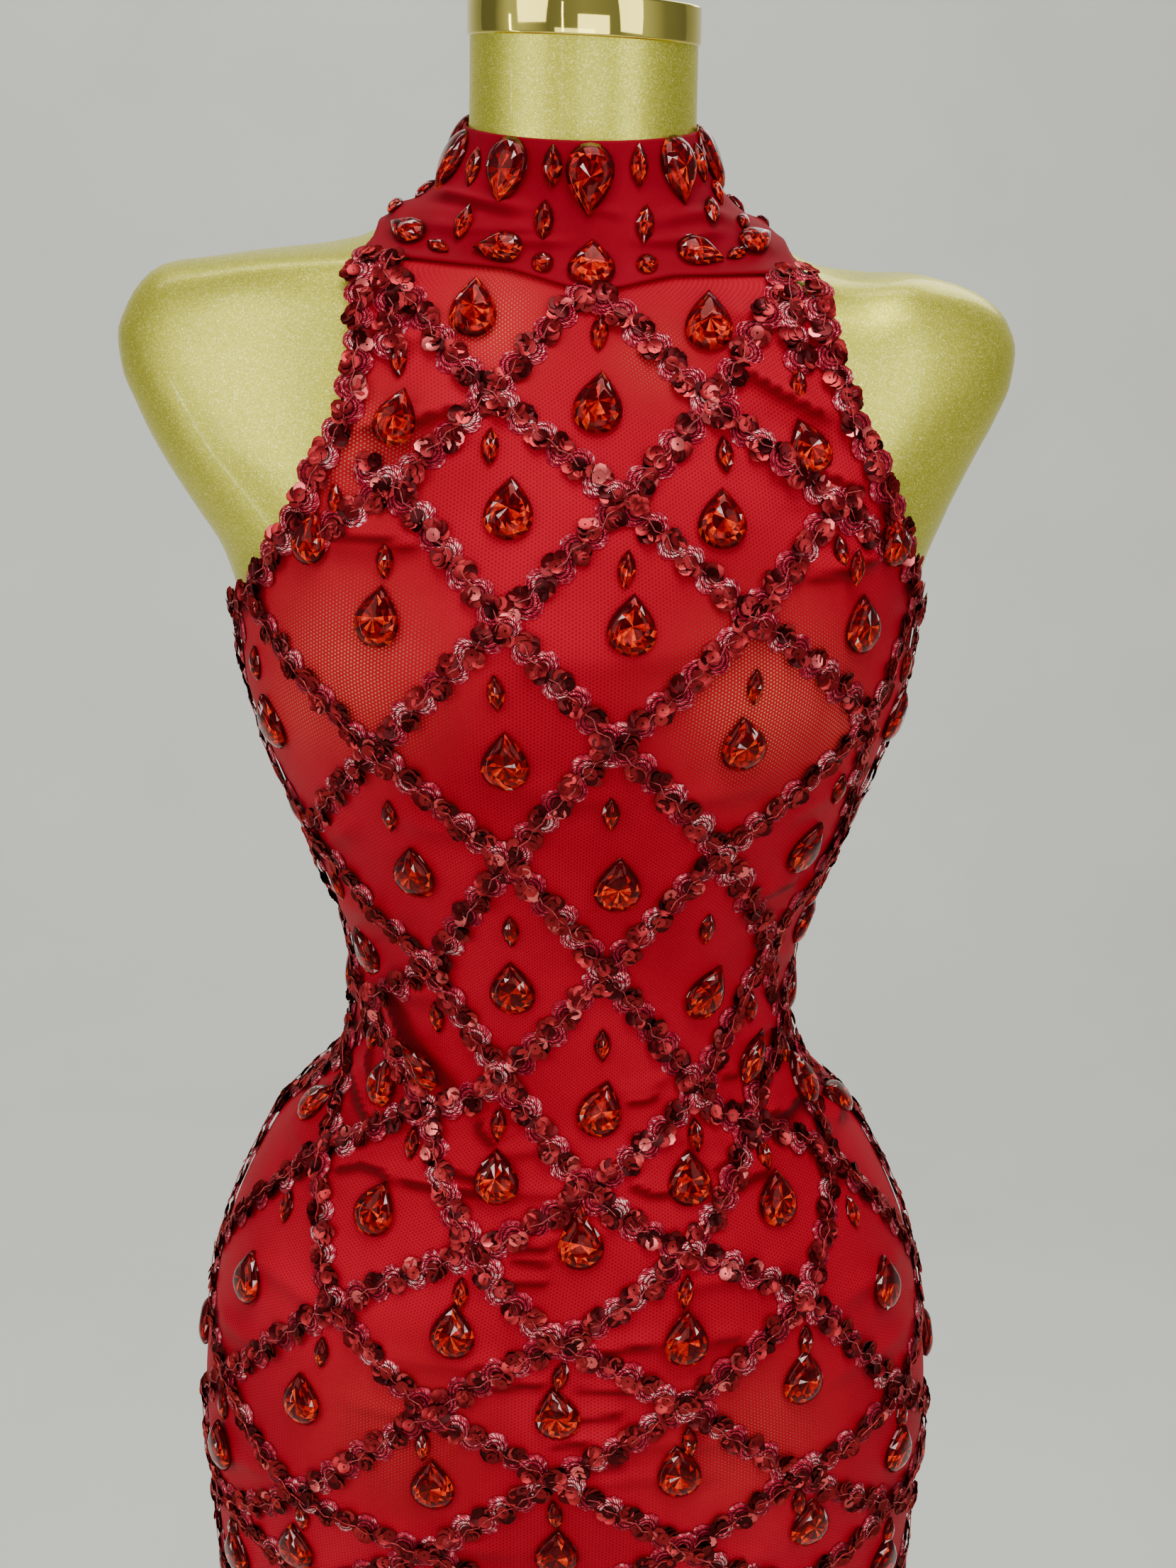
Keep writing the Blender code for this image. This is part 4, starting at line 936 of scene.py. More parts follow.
def grid_points(piece):
    """A grid primitive's own points from 0 to 1 across and up."""
    places = read_points(piece.data)
    return (places[:, 0] + 1) / 2, (places[:, 1] + 1) / 2


def set_points(piece, places):
    piece.data.vertices.foreach_set("co", np.ascontiguousarray(places, float).ravel())
    piece.data.update()


def set_uv(piece, across, up):
    corners = np.zeros(len(piece.data.loops), int)
    piece.data.loops.foreach_get("vertex_index", corners)
    layer = piece.data.uv_layers[0] if piece.data.uv_layers else piece.data.uv_layers.new(name="UVMap")
    layer.data.foreach_set("uv", np.stack([across[corners], up[corners]], axis=1).ravel())


def edit_whole(piece, *steps):
    """Runs steps in edit mode, each on all of the piece."""
    select_only(piece)
    bpy.ops.object.mode_set(mode="EDIT")
    for step in steps:
        bpy.ops.mesh.select_all(action="SELECT")
        step()
    bpy.ops.object.mode_set(mode="OBJECT")


def turn_out():
    bpy.ops.mesh.normals_make_consistent(inside=False)


def set_point_values(piece, name, values):
    made = piece.data.attributes.new(name, "FLOAT", "POINT")
    made.data.foreach_set("value", np.asarray(values, np.float32))


def add_sheet(name, across, up, place, thick, creases_out):
    """A grid laid on the form. place turns shares across and up into column, height, distance out and stretch."""
    select_only()
    bpy.ops.mesh.primitive_grid_add(x_subdivisions=across, y_subdivisions=up, size=2, calc_uvs=True)
    piece = named(name)
    column, height, out, stretch = place(*grid_points(piece))
    set_points(piece, over_form(column, height, out))
    set_uv(piece, column * COLUMN_LENGTH, height)
    set_point_values(piece, "stretch", stretch)
    set_point_values(piece, "shade", fold_shade(creases_out, column, height))
    smooth(piece)
    apply_modifier(piece, "SOLIDIFY", thickness=thick, offset=-1.0)
    return piece


# The cloth

def side_seam(height):
    """The column of the side seam, between front and back under the arm."""
    return QUARTER_ROUND + SEAM_SHIFT * smooth_step((UNDERARM_HEIGHT - height) / SEAM_SHIFT_HEIGHT)


# Where the cloth is stretched and the gold shows through: X, height, radius, strength
STRETCHED = (
    (-0.090, 1.247, 0.031, 0.44),
    (0.078, 1.238, 0.030, 0.48),
    (-0.034, 1.384, 0.018, 0.30),
    (-0.088, 1.335, 0.020, 0.30),
    (-0.112, 1.225, 0.020, 0.24),
    (0.108, 1.225, 0.018, 0.24),
    (0.030, 1.372, 0.015, 0.16),
    (-0.078, 0.905, 0.034, 0.10),
    (0.085, 0.900, 0.034, 0.12),
)


def stretch_at(points):
    strength = np.zeros(len(points))
    for x, height, radius, most in STRETCHED:
        away = np.hypot(points[:, 0] - x, points[:, 2] - height)
        strength = np.maximum(strength, most * np.exp(-((away / radius) ** 2) * 1.2))
    return strength


# The panels' rows stand closer where the cloth creases: share of the rows, height
PANEL_ROWS = ((0.0, HEM_HEIGHT), (0.083, 0.800), (0.340, 0.985), (0.620, 1.125), (0.970, 1.386))
PANEL_TOP_SHARE, PANEL_TOP = PANEL_ROWS[-1]
# A panel ends this many columns inside its armhole edge, and runs on under the yoke, drawn in
ARMHOLE_INSET, SEAM_OVERLAP, SEAM_TUCK = 0.035, 2.0 * MM, 0.7 * MM


def panel_place(behind):
    """Lays one panel between its side seams, and inside its armholes above them."""

    def place(across, up):
        side = 2 * across - 1
        height = np.interp(up, *zip(*PANEL_ROWS))
        at_seam = HALF_ROUND - side_seam(height) if behind else side_seam(height)
        in_armhole = armhole_edge_at(height) - ARMHOLE_INSET
        reach = smooth_step((height - UNDERARM_HEIGHT + 4 * MM) / (8 * MM))
        edge = at_seam * (1 - reach) + in_armhole * reach
        column = side * edge
        from_front = HALF_ROUND - np.abs(column) if behind else np.abs(column)
        above = np.clip((up - PANEL_TOP_SHARE) / (1 - PANEL_TOP_SHARE), 0, 1)
        height = height + above * (seam_at(from_front) + SEAM_OVERLAP - PANEL_TOP)
        column = column + HALF_ROUND if behind else column
        out = cloth_out(column, height) - SEAM_TUCK * above**2
        stretch = np.zeros(len(column)) if behind else stretch_at(over_form(column, height, out))
        return column, height, out, stretch

    return place


def make_panels():
    cloth = mesh_cloth()
    front = add_sheet("front_cloth", 184, 266, panel_place(False), CLOTH_THICK, cloth_out)
    back = add_sheet("back_cloth", 150, 210, panel_place(True), CLOTH_THICK, cloth_out)
    return finish_piece(front, cloth, "red_mesh", "front"), finish_piece(back, cloth, "red_mesh", "back")


# Half the nape's slit, in columns
NAPE_SLIT = 0.012


def make_collar_cloth():
    def place(across, up):
        column = -HALF_ROUND + NAPE_SLIT + (COLUMNS - 2 * NAPE_SLIT) * across
        turn = math.pi * column / HALF_ROUND
        top = COLLAR_TOP - COLLAR_TILT * np.cos(turn) + LEAN * NECK_RADIUS * np.sin(turn)
        low = seam_at(np.abs(column)) - 1.0 * MM
        height = low + (top - low) * up
        edge = smooth_step((up - 0.93) / 0.07)
        roll = 0.9 * MM * np.exp(-((height - low) / (2.2 * MM)) ** 2)
        out = collar_out(column, height) + roll - 0.3 * MM * edge
        return column, height, out, np.zeros(len(column))

    piece = add_sheet("collar_cloth", 300, 44, place, COLLAR_THICK, collar_out)
    return finish_piece(piece, jersey_cloth(), "red_jersey", "collar")


# The trim's repeats: each is modelled once, and then copied to its places

SCALLOP_HALF_LENGTH, SCALLOP_REACH = 7.0, 7.9


def model_scallop():
    """Half a disc of yarn rings, domed, that stands beside the trim's middle line. In mm."""
    select_only()
    bpy.ops.mesh.primitive_grid_add(x_subdivisions=7, y_subdivisions=4, size=2, calc_uvs=True)
    piece = named("scallop_model")
    across, up = grid_points(piece)
    angle = math.pi * (1.06 * across - 0.03)
    radius = 0.20 + 0.80 * up
    wave = 1.0 + 0.045 * np.cos(angle * 10) * (up > 0.9)
    x = -SCALLOP_HALF_LENGTH * radius * wave * np.cos(angle)
    y = SCALLOP_REACH * radius * wave * np.sin(angle) - 0.6
    z = 0.35 + 1.45 * np.sin(math.pi * np.clip(0.14 + 0.86 * up, 0, 1)) ** 0.8
    set_points(piece, np.stack([x, y, z], axis=1) * MM)
    set_uv(piece, across, up)
    flip_outward(piece)
    return piece


def model_sequin():
    """A cupped foil disc. In mm."""
    select_only()
    bpy.ops.mesh.primitive_circle_add(vertices=8, radius=SEQUIN_RADIUS, fill_type="TRIFAN")
    piece = named("sequin_model")
    places = read_points(piece.data)
    away = np.hypot(places[:, 0], places[:, 1]) / SEQUIN_RADIUS
    places[:, 2] = 0.45 * MM * away**2
    set_points(piece, places)
    set_uv(piece, np.zeros(len(places)), away)
    flip_outward(piece)
    return piece


def flip_outward(piece):
    """Turns a small open model's faces to look up."""
    if sum(face.normal.z * face.area for face in piece.data.polygons) < 0:
        edit_whole(piece, bpy.ops.mesh.flip_normals)


def pear_line(count, long, wide):
    """A pear's outline, point up: a round end, and sides that swell out to a blunt point."""
    radius = wide / 2
    middle = radius - long / 2
    line = []
    for i in range(count):
        turn = 2 * math.pi * i / count
        x, y = math.sin(turn), math.cos(turn)
        if y > 0:
            up = 1 - 2 * math.acos(y) / math.pi
            line.append((-math.copysign(radius * math.cos(math.pi / 2 * up), x), middle + up * (long / 2 - middle)))
        else:
            line.append((-radius * x, middle + radius * y))
    return line


def marquise_line(count, long, wide):
    """A marquise's outline, pointed at both ends."""
    line = []
    for i in range(count):
        turn = 2 * math.pi * i / count
        y = math.cos(turn)
        line.append((-math.copysign((1 - y * y) * wide / 2, math.sin(turn)), y * long / 2))
    return line


def round_line(count, long, wide):
    turns = [2 * math.pi * i / count for i in range(count)]
    return [(-math.sin(turn) * wide / 2, math.cos(turn) * long / 2) for turn in turns]


def model_stone(name, line, tiers):
    """A cut stone: its outline is raised and drawn in by tiers of share and height, under a table of split facets."""
    select_only()
    bpy.ops.mesh.primitive_circle_add(vertices=len(line), radius=1.0, fill_type="NGON")
    piece = named(name)
    share, height = tiers[0]
    set_points(piece, np.array([(x * share, y * share, height) for x, y in line]) * MM)
    bpy.ops.object.mode_set(mode="EDIT")
    bpy.ops.mesh.select_all(action="SELECT")
    for (before, low), (after, high) in zip(tiers, tiers[1:]):
        bpy.ops.mesh.extrude_region_move()
        bpy.ops.transform.resize(value=(after / before, after / before, 1.0), center_override=(0.0, 0.0, 0.0))
        bpy.ops.transform.translate(value=(0.0, 0.0, (high - low) * MM))
    bpy.ops.mesh.poke()
    bpy.ops.mesh.select_all(action="SELECT")
    bpy.ops.mesh.normals_make_consistent(inside=False)
    bpy.ops.mesh.quads_convert_to_tris(quad_method="FIXED_ALTERNATE")
    bpy.ops.object.mode_set(mode="OBJECT")
    flip_outward(piece)
    return piece


def read_model(piece):
    """A model's points, its faces' corners, and its UV."""
    mesh = piece.data
    corners = np.zeros(len(mesh.loops), np.int32)
    mesh.loops.foreach_get("vertex_index", corners)
    starts = np.zeros(len(mesh.polygons), np.int32)
    mesh.polygons.foreach_get("loop_start", starts)
    uv = np.zeros(len(mesh.loops) * 2)
    if mesh.uv_layers:
        mesh.uv_layers[0].data.foreach_get("uv", uv)
    return read_points(mesh), corners, starts, uv


def copies(name, model, origins, axes, copy_draws=None, facets=None):
    """One piece of a model's copies. axes are each copy's own X, Y and Z as rows."""
    places, corners, starts, uv = read_model(model)
    count = len(origins)
    laid = np.einsum("pk,nkj->npj", places, axes) + origins[:, None, :]
    mesh = bpy.data.meshes.new(name)
    mesh.vertices.add(count * len(places))
    mesh.vertices.foreach_set("co", laid.ravel())
    mesh.loops.add(count * len(corners))
    shift = np.arange(count, dtype=np.int32)[:, None]
    mesh.loops.foreach_set("vertex_index", (corners[None, :] + shift * len(places)).ravel())
    mesh.polygons.add(count * len(starts))
    mesh.polygons.foreach_set("loop_start", (starts[None, :] + shift * len(corners)).ravel())
    layer = mesh.uv_layers.new(name="UVMap")
    layer.data.foreach_set("uv", np.tile(uv, count))
    mesh.update(calc_edges=True)
    mesh.validate()
    piece = put_in_scene(name, mesh)
    if copy_draws is not None:
        set_point_values(piece, "copy_draw", np.repeat(copy_draws, len(places)))
    if facets is not None:
        made = mesh.attributes.new("facet", "FLOAT_COLOR", "FACE")
        made.data.foreach_set("color", facets.reshape(-1).astype(np.float32))
    return piece


def frames_at(column, height, along_column, along_height, out):
    """Places on the cloth with their own axes: X along the way given, Z out of the cloth."""
    origins = over_form(column, height, out)
    step = 0.5
    ahead = over_form(column + along_column * step, height + along_height * step, out)
    behind = over_form(column - along_column * step, height - along_height * step, out)
    forward = ahead - behind
    normal = form_normal(column, height)
    forward -= (forward * normal).sum(-1, keepdims=True) * normal
    forward /= np.linalg.norm(forward, axis=-1, keepdims=True)
    sideways = np.cross(normal, forward)
    return origins, np.stack([forward, sideways, normal], axis=1)


def chains():
    """The lattice's trims: each runs down a slant of knots, as columns and heights close together."""
    lines = []
    for way in (1, -1):
        for start in range(0, 2 * COLUMNS, 2):
            row = np.linspace(0.0, LAST_ROW, LAST_ROW * 24 + 1)
            column = (start + way * row) / 2
            knots = np.arange(LAST_ROW + 1)
            shifts = np.array([hand_shift(KNOT_SHIFTS, start + way * int(knot), int(knot)) for knot in knots])
            height = cloth_height(column, row) + np.interp(row, knots, shifts[:, 1])
            lines.append((way, column + np.interp(row, knots, shifts[:, 0]), height, row))
    return lines


def armhole_line(share, width, count=240):
    """The armhole's trim from the front's top to the underarm, at a share of its width in from the edge."""
    points = [(column * COLUMN_LENGTH, height) for column, height in ARMHOLE]
    lengths = np.concatenate([[0.0], np.cumsum([math.dist(a, b) for a, b in zip(points, points[1:])])])
    across_at = curve(list(zip(lengths, (point[0] for point in points))))
    height_at = curve(list(zip(lengths, (point[1] for point in points))))
    here = np.linspace(0, lengths[-1], count)
    step = lengths[-1] / 200
    across = across_at(here + step) - across_at(here - step)
    down = height_at(here - step) - height_at(here + step)
    lean = np.clip(np.arctan2(across, down), 0.0, math.pi / 2)
    lean[-1] = math.pi / 2
    column = (across_at(here) - share * width * np.cos(lean)) / COLUMN_LENGTH
    return column, height_at(here) - share * width * np.sin(lean)


DOUBLE_TRIM_WIDTH, EDGE_TRIM_WIDTH = 0.0280, 0.0150


def away_from_armhole(column, height):
    """Distance from the armhole edge, in metres."""
    edge_column, edge_height = armhole_line(0.0, 0.0, 60)
    across = folded(column)[:, None] * COLUMN_LENGTH - edge_column[None] * COLUMN_LENGTH
    return np.hypot(across, height[:, None] - edge_height[None]).min(axis=1)


def on_panel(column, height, in_from_edge):
    seam = seam_at(np.abs((column + HALF_ROUND) % COLUMNS - HALF_ROUND))
    inside = (folded(column) < armhole_edge_at(height)) | (height < UNDERARM_HEIGHT)
    return inside & (height > HEM_HEIGHT + 4 * MM) & (height < seam - 1.5 * MM) & (
        away_from_armhole(column, height) > in_from_edge
    )


def stations(column, height, out, spacing):
    """Evenly spaced places along a line on the cloth, with the way it runs."""
    points = over_form(column, height, out)
    lengths = np.concatenate([[0.0], np.cumsum(np.linalg.norm(np.diff(points, axis=0), axis=1))])
    at = np.arange(spacing / 2, lengths[-1], spacing)
    place = np.interp(at, lengths, np.arange(len(column)))
    c, h = (np.interp(place, np.arange(len(column)), side) for side in (column, height))
    step = 0.6
    ahead = [np.interp(place + step, np.arange(len(column)), side) for side in (column, height)]
    back = [np.interp(place - step, np.arange(len(column)), side) for side in (column, height)]
    return c, h, ahead[0] - back[0], ahead[1] - back[1], place


SEQUIN_CLUSTER = (
    # along and across from the middle of a gap, height, and lean along, in mm and shares
    (-3.7, 1.2, 1.15, 0.16),
    (-2.4, 3.1, 1.40, 0.18),
    (-0.3, 4.0, 1.65, 0.20),
    (1.8, 3.3, 1.90, 0.20),
    (3.3, 1.7, 2.10, 0.18),
    (0.3, 0.6, 2.35, 0.10),
)


# The lattice's rows stand about this far apart along a trim, in mm. Where two trims cross, one rides over the other.
ROW_TO_ROW, CROSSING_REACH = 62.0, 9.0
CROSSING_LIFT, ARMHOLE_LIFT, ARMHOLE_SECOND_LIFT = 1.3 * MM, 1.0 * MM, 0.6 * MM
# The armhole's two chains: share of the double trim's width in from the edge, and the height it ends at
ARMHOLE_CHAINS = ((0.12, 0.0), (0.58, 1.368))
# How unevenly the trim's pieces lie: shifts and heights in metres, lean in radians
SCALLOP_STRAY, SEQUIN_STRAY, SEQUIN_HEIGHT_STRAY, SEQUIN_LEAN = 0.5 * MM, 0.45 * MM, 0.15 * MM, 0.13


def lay_trims():
    """All trim on the gown: scallops, sequins and the thread that holds them down."""
    draw = np.random.default_rng(7)
    scallop, sequin = model_scallop(), model_sequin()
    lines = []
    for way, column, height, row in chains():
        nearest = np.abs(row - np.round(row)) * ROW_TO_ROW
        lift = (CROSSING_LIFT if way > 0 else 0.0) * np.exp(-((nearest / CROSSING_REACH) ** 2))
        lines.append((column, height, lift, EDGE_TRIM_WIDTH - 3.0 * MM))
    for side in (1, -1):
        for share, ends_at in ARMHOLE_CHAINS:
            column, height = armhole_line(share, DOUBLE_TRIM_WIDTH)
            column, height = column[height > ends_at], height[height > ends_at]
            if ends_at:
                for turned in (column, HALF_ROUND - column):
                    lines.append((turned * side, height, np.full(len(column), ARMHOLE_SECOND_LIFT), None))
                continue
            column = np.concatenate([column, HALF_ROUND - column[-2::-1]]) * side
            height = np.concatenate([height, height[-2::-1]])
            lines.append((column, height, np.full(len(column), ARMHOLE_LIFT), None))
    scallops, sequins, threads = [], [], []
    for column, height, lift, in_from_edge in lines:
        c, h, dc, dh, place = stations(column, height, cloth_out(column, height), PITCH / 2)
        rise = np.interp(place, np.arange(len(lift)), lift)
        keep = np.ones(len(c), bool) if in_from_edge is None else on_panel(c, h, in_from_edge)
        origins, axes = frames_at(c, h, dc, dh, cloth_out(c, h) + rise)
        side = np.where(np.arange(len(c)) % 2, 1.0, -1.0)
        turned = axes * np.stack([side, side, np.ones(len(c))], axis=1)[:, :, None]
        stray = draw.normal(0, SCALLOP_STRAY, (len(c), 2))
        shifted = origins + turned[:, 0] * stray[:, :1] + turned[:, 1] * (stray[:, 1:] - 0.2 * MM)
        size = draw.uniform(0.92, 1.06, len(c))
        scallops.append((shifted[keep], (turned * size[:, None, None])[keep]))
        for x, y, z, tilt in SEQUIN_CLUSTER:
            n = len(c)
            shift = draw.normal(0, SEQUIN_STRAY, (n, 2)) + np.array((x, -y)) * MM
            high = z * MM + draw.normal(0, SEQUIN_HEIGHT_STRAY, n)
            at = origins + turned[:, 0] * shift[:, :1] + turned[:, 1] * shift[:, 1:] + axes[:, 2] * high[:, None]
            lean = draw.normal(0, SEQUIN_LEAN, (n, 2))
            up = axes[:, 2] + turned[:, 0] * (lean[:, :1] - tilt) + turned[:, 1] * (lean[:, 1:] - 0.06)
            up /= np.linalg.norm(up, axis=1, keepdims=True)
            spin = draw.uniform(0, 2 * math.pi, n)
            first = turned[:, 0] * np.cos(spin)[:, None] + turned[:, 1] * np.sin(spin)[:, None]
            first -= (first * up).sum(1, keepdims=True) * up
            first /= np.linalg.norm(first, axis=1, keepdims=True)
            sequins.append((at[keep], np.stack([first, np.cross(up, first), up], axis=1)[keep]))
        threads.append(thread_line(column, height, lift, in_from_edge, draw))
    pieces = []
    laid = [np.concatenate(part) for part in zip(*scallops)]
    pieces += split_copies("gimp_scallops", scallop, laid, scallop_threads(), draw.uniform(0, 1, len(laid[0])))
    laid = [np.concatenate(part) for part in zip(*sequins)]
    pieces += split_copies("sequins", sequin, laid, sequin_foil(), draw.uniform(0, 1, len(laid[0])))
    pieces += thread_pieces(threads)
    for model in (scallop, sequin):
        bpy.data.objects.remove(model)
    return pieces


SKIRT_TOP = 0.84


def split_copies(name, model, laid, material, copy_draws):
    """Copies in four pieces: front and back, bodice and skirt."""
    origins, axes = laid
    pieces = []
    for half, ahead in (("front", origins[:, 1] < 0), ("back", origins[:, 1] >= 0)):
        for part, here in (("bodice", origins[:, 2] > SKIRT_TOP), ("skirt", origins[:, 2] <= SKIRT_TOP)):
            these = ahead & here
            piece = copies(f"{half}_{part}_{name}", model, origins[these], axes[these], copy_draws[these])
            smooth(piece)
            pieces.append(finish_piece(piece, material, "sequin_trim"))
    return pieces


THREAD_SPACING, THREAD_RADIUS, THREAD_HEIGHT = 5.0 * MM, 0.30 * MM, 2.75 * MM


def thread_line(column, height, lift, in_from_edge, draw):
    """One stitched line down a trim's middle: runs of points that stay on the panel."""
    c, h, dc, dh, place = stations(column, height, cloth_out(column, height), THREAD_SPACING)
    rise = np.interp(place, np.arange(len(lift)), lift)
    keep = np.ones(len(c), bool) if in_from_edge is None else on_panel(c, h, in_from_edge)
    origins, axes = frames_at(c, h, dc, dh, cloth_out(c, h) + rise + THREAD_HEIGHT)
    sway = np.where(np.arange(len(c)) % 2, 1.0, -1.0) * draw.uniform(0.2, 1.5, len(c)) * MM
    origins = origins + axes[:, 1] * sway[:, None] + axes[:, 2] * draw.normal(0, 0.15 * MM, len(c))[:, None]
    return origins, axes, keep


def thread_pieces(threads):
    """Three-sided yarn swept along every stitched line, in a front and a back piece."""
    pieces = []
    for half in ("front", "back"):
        points, faces = [], []
        for origins, axes, keep in threads:
            before = None
            for origin, axis, here in zip(origins, axes, keep):
                if not here or (origin[1] < 0) != (half == "front"):
                    before = None
                    continue
                ring = len(points)
                for angle in (90, 210, 330):
                    turn = math.radians(angle)
                    points.append(origin + THREAD_RADIUS * (axis[1] * math.cos(turn) + axis[2] * math.sin(turn)))
                if before is not None:
                    faces += [(before + k, before + (k + 1) % 3, ring + (k + 1) % 3, ring + k) for k in range(3)]
                before = ring
        mesh = bpy.data.meshes.new(f"{half}_stitch_thread")
        mesh.from_pydata(points, [], faces)
        piece = put_in_scene(mesh.name, mesh)
        edit_whole(piece, bpy.ops.mesh.delete_loose, turn_out)
        smooth(piece)
        pieces.append(finish_piece(piece, silk_thread(), "sequin_trim"))
    return pieces


# The stones

FACET_RED_AND_PAINTED_LIGHT = {
    # tier: share of facets, colour, and how much likelier the colour is in the stone's lower half. The colours are the
    # glass's own red with painted light: dark and lit facets, orange and yellow fire, white glints.
    "wall": ((0.64, (0.046, 0.0009, 0.0022), 0.8), (0.29, (0.13, 0.002, 0.004), 1.0), (0.07, (0.55, 0.30, 0.30), 0.4)),
    "crown": (
        (0.55, (0.036, 0.0006, 0.0018), 0.7), (0.27, (0.12, 0.0009, 0.0020), 1.2), (0.13, (0.30, 0.002, 0.0018), 1.8),
        (0.040, (0.66, 0.034, 0.002), 2.6), (0.010, (0.70, 0.50, 0.48), 0.5),
    ),
    "bezel": (
        (0.47, (0.044, 0.0006, 0.0020), 0.6), (0.30, (0.14, 0.0009, 0.0020), 1.2), (0.165, (0.36, 0.003, 0.0018), 1.8),
        (0.050, (0.72, 0.040, 0.002), 3.0), (0.015, (0.60, 0.42, 0.40), 0.3),
    ),
    "table": (
        (0.44, (0.066, 0.0008, 0.0020), 0.6), (0.32, (0.20, 0.0016, 0.0020), 1.0), (0.165, (0.42, 0.005, 0.0018), 1.6),
        (0.030, (0.80, 0.056, 0.002), 3.0), (0.045, (1.15, 0.56, 0.002), 2.6),
    ),
}


def facet_red_and_painted_light(model, turns, draw, line_count, tiers):
    """A colour for every facet of every copy: the glass's own red with painted shade, fire and glints. Neighbours on
    the table share one, as a stone's fire does.
    """
    heights = [height * MM for _, height in tiers]
    names, groups, sides = [], [], []
    for face in model.data.polygons:
        z = face.center.z
        tier = 0
        while tier < len(heights) - 2 and z > heights[tier + 1]:
            tier += 1
        flat_top = face.normal.z > 0.98 and z > heights[-1] - 0.2 * MM
        name = "table" if flat_top else ("wall", "crown", "bezel", "bezel")[min(tier, 3)]
        names.append(name)
        sides.append((face.center.x, face.center.y))
        angle = math.atan2(face.center.x, face.center.y) % (2 * math.pi)
        groups.append(int(angle / (2 * math.pi) * line_count / 2.4) if name == "table" else -1)
    colours = np.ones((len(turns), len(names), 4))
    for n, turn in enumerate(np.radians(turns)):
        shared = {}
        for f, (name, group, (x, y)) in enumerate(zip(names, groups, sides)):
            if group >= 0 and group in shared:
                colours[n, f, :3] = shared[group]
                continue
            shares, choices, low = zip(*FACET_RED_AND_PAINTED_LIGHT[name])
            shares = np.array(shares)
            # Painted light: the bright facets are likelier in the stone's lower half, where light from above comes
            # through.
            if x * math.sin(turn) + y * math.cos(turn) < 0:
                shares = shares * low
            else:
                shares = shares / low
            colour = np.array(choices[draw.choice(len(shares), p=shares / shares.sum())])
            colour = colour * draw.uniform(0.75, 1.2)
            colours[n, f, :3] = colour
            if group >= 0:
                shared[group] = colour
    return colours


PEAR_TIERS = ((0.94, 0.2), (1.0, 1.7), (0.86, 3.4), (0.70, 4.5), (0.50, 5.3))
MARQUISE_TIERS = ((0.94, 0.2), (1.0, 1.2), (0.70, 2.6), (0.42, 3.4))
# The collar's stones: column, height, kind, length and width in mm, turn from point up in degrees
COLLAR_STONES = (
    (0.03, 1.4394, "pear", 29.5, 20.0, 180),
    (-0.79, 1.4405, "pear", 29.0, 19.5, 180),
    (-1.63, 1.4427, "pear", 29.0, 19.0, 180),
    (1.00, 1.4443, "pear", 29.0, 19.5, 178),
    (1.76, 1.4493, "pear", 29.0, 19.0, 178),
    (-0.33, 1.4442, "marquise", 17.5, 8.6, 3),
    (0.53, 1.4460, "marquise", 17.5, 8.2, -2),
    (-1.20, 1.4416, "marquise", 17.0, 8.0, 4),
    (1.40, 1.4476, "marquise", 17.0, 8.0, -4),
    (-0.34, 1.4226, "marquise", 17.0, 8.4, 2),
    (0.46, 1.4226, "marquise", 16.5, 8.0, -8),
    (-0.95, 1.4188, "marquise", 16.5, 8.0, -4),
    (1.14, 1.4270, "marquise", 15.5, 7.4, -22),
    (-1.92, 1.4299, "marquise", 14.0, 7.0, 30),
    (-1.78, 1.4211, "marquise", 14.0, 7.0, 50),
    (1.52, 1.4354, "marquise", 14.0, 6.5, -25),
    (1.47, 1.4238, "marquise", 13.0, 6.5, -55),
    (0.01, 1.4063, "pear", 20.5, 19.5, 0),
    (-0.65, 1.4103, "pear", 20.5, 14.0, 97),
    (0.83, 1.4120, "pear", 20.5, 14.5, -112),
    (-0.30, 1.4055, "round", 9.0, 9.0, 0),
    (0.38, 1.4067, "round", 9.0, 9.0, 20),
    (-1.03, 1.4087, "marquise", 12.0, 6.5, 68),
    (1.11, 1.4117, "marquise", 13.0, 6.0, -66),
    (-1.36, 1.4135, "pear", 22.0, 13.0, 78),
    (1.37, 1.4161, "pear", 22.0, 13.0, -75),
)
# Stones beside the armholes: column, height, kind, length and width in mm, turn
ARMHOLE_STONES = (
    (-0.88, 1.3680, "marquise", 15.5, 7.4, 4),
    (0.86, 1.3600, "marquise", 15.5, 7.4, -6),
    (-0.88, 1.3455, "pear", 24.5, 18.0, -14),
    (0.86, 1.3370, "pear", 24.5, 18.0, 20),
    (-1.09, 1.3130, "marquise", 15.0, 7.2, 8),
    (0.95, 1.2960, "marquise", 15.5, 7.4, 12),
    (-1.17, 1.2985, "pear", 23.0, 17.0, -14),
    (1.23, 1.2990, "pear", 23.0, 17.0, 16),
)
# Pears of the panels' top diamonds, just under the yoke: half column, column, height. The others' height.
TOP_PEARS = ((-1, -0.58, 1.3883), (1, 0.55, 1.3853))
TOP_PEAR_HEIGHT = 1.3870
# The stones as they are modelled, and as they are laid on the panels: length, width in mm
PEAR_MODEL, MARQUISE_MODEL, ROUND_MODEL = (25.5, 18.6), (16.0, 7.2), (8.0, 8.0)
PEAR_SIZE, TOP_PEAR_SIZE, MARQUISE_SIZE = (25.8, 20.2), (26.0, 19.6), (15.8, 7.6)
# Stones of the collar that the back has too: those left and right of these columns. The nape's buttons stay clear.
BACK_STONES_LEFT_OF, BACK_STONES_RIGHT_OF, BACK_STONES_SHARE = -0.36, 0.2, 0.97


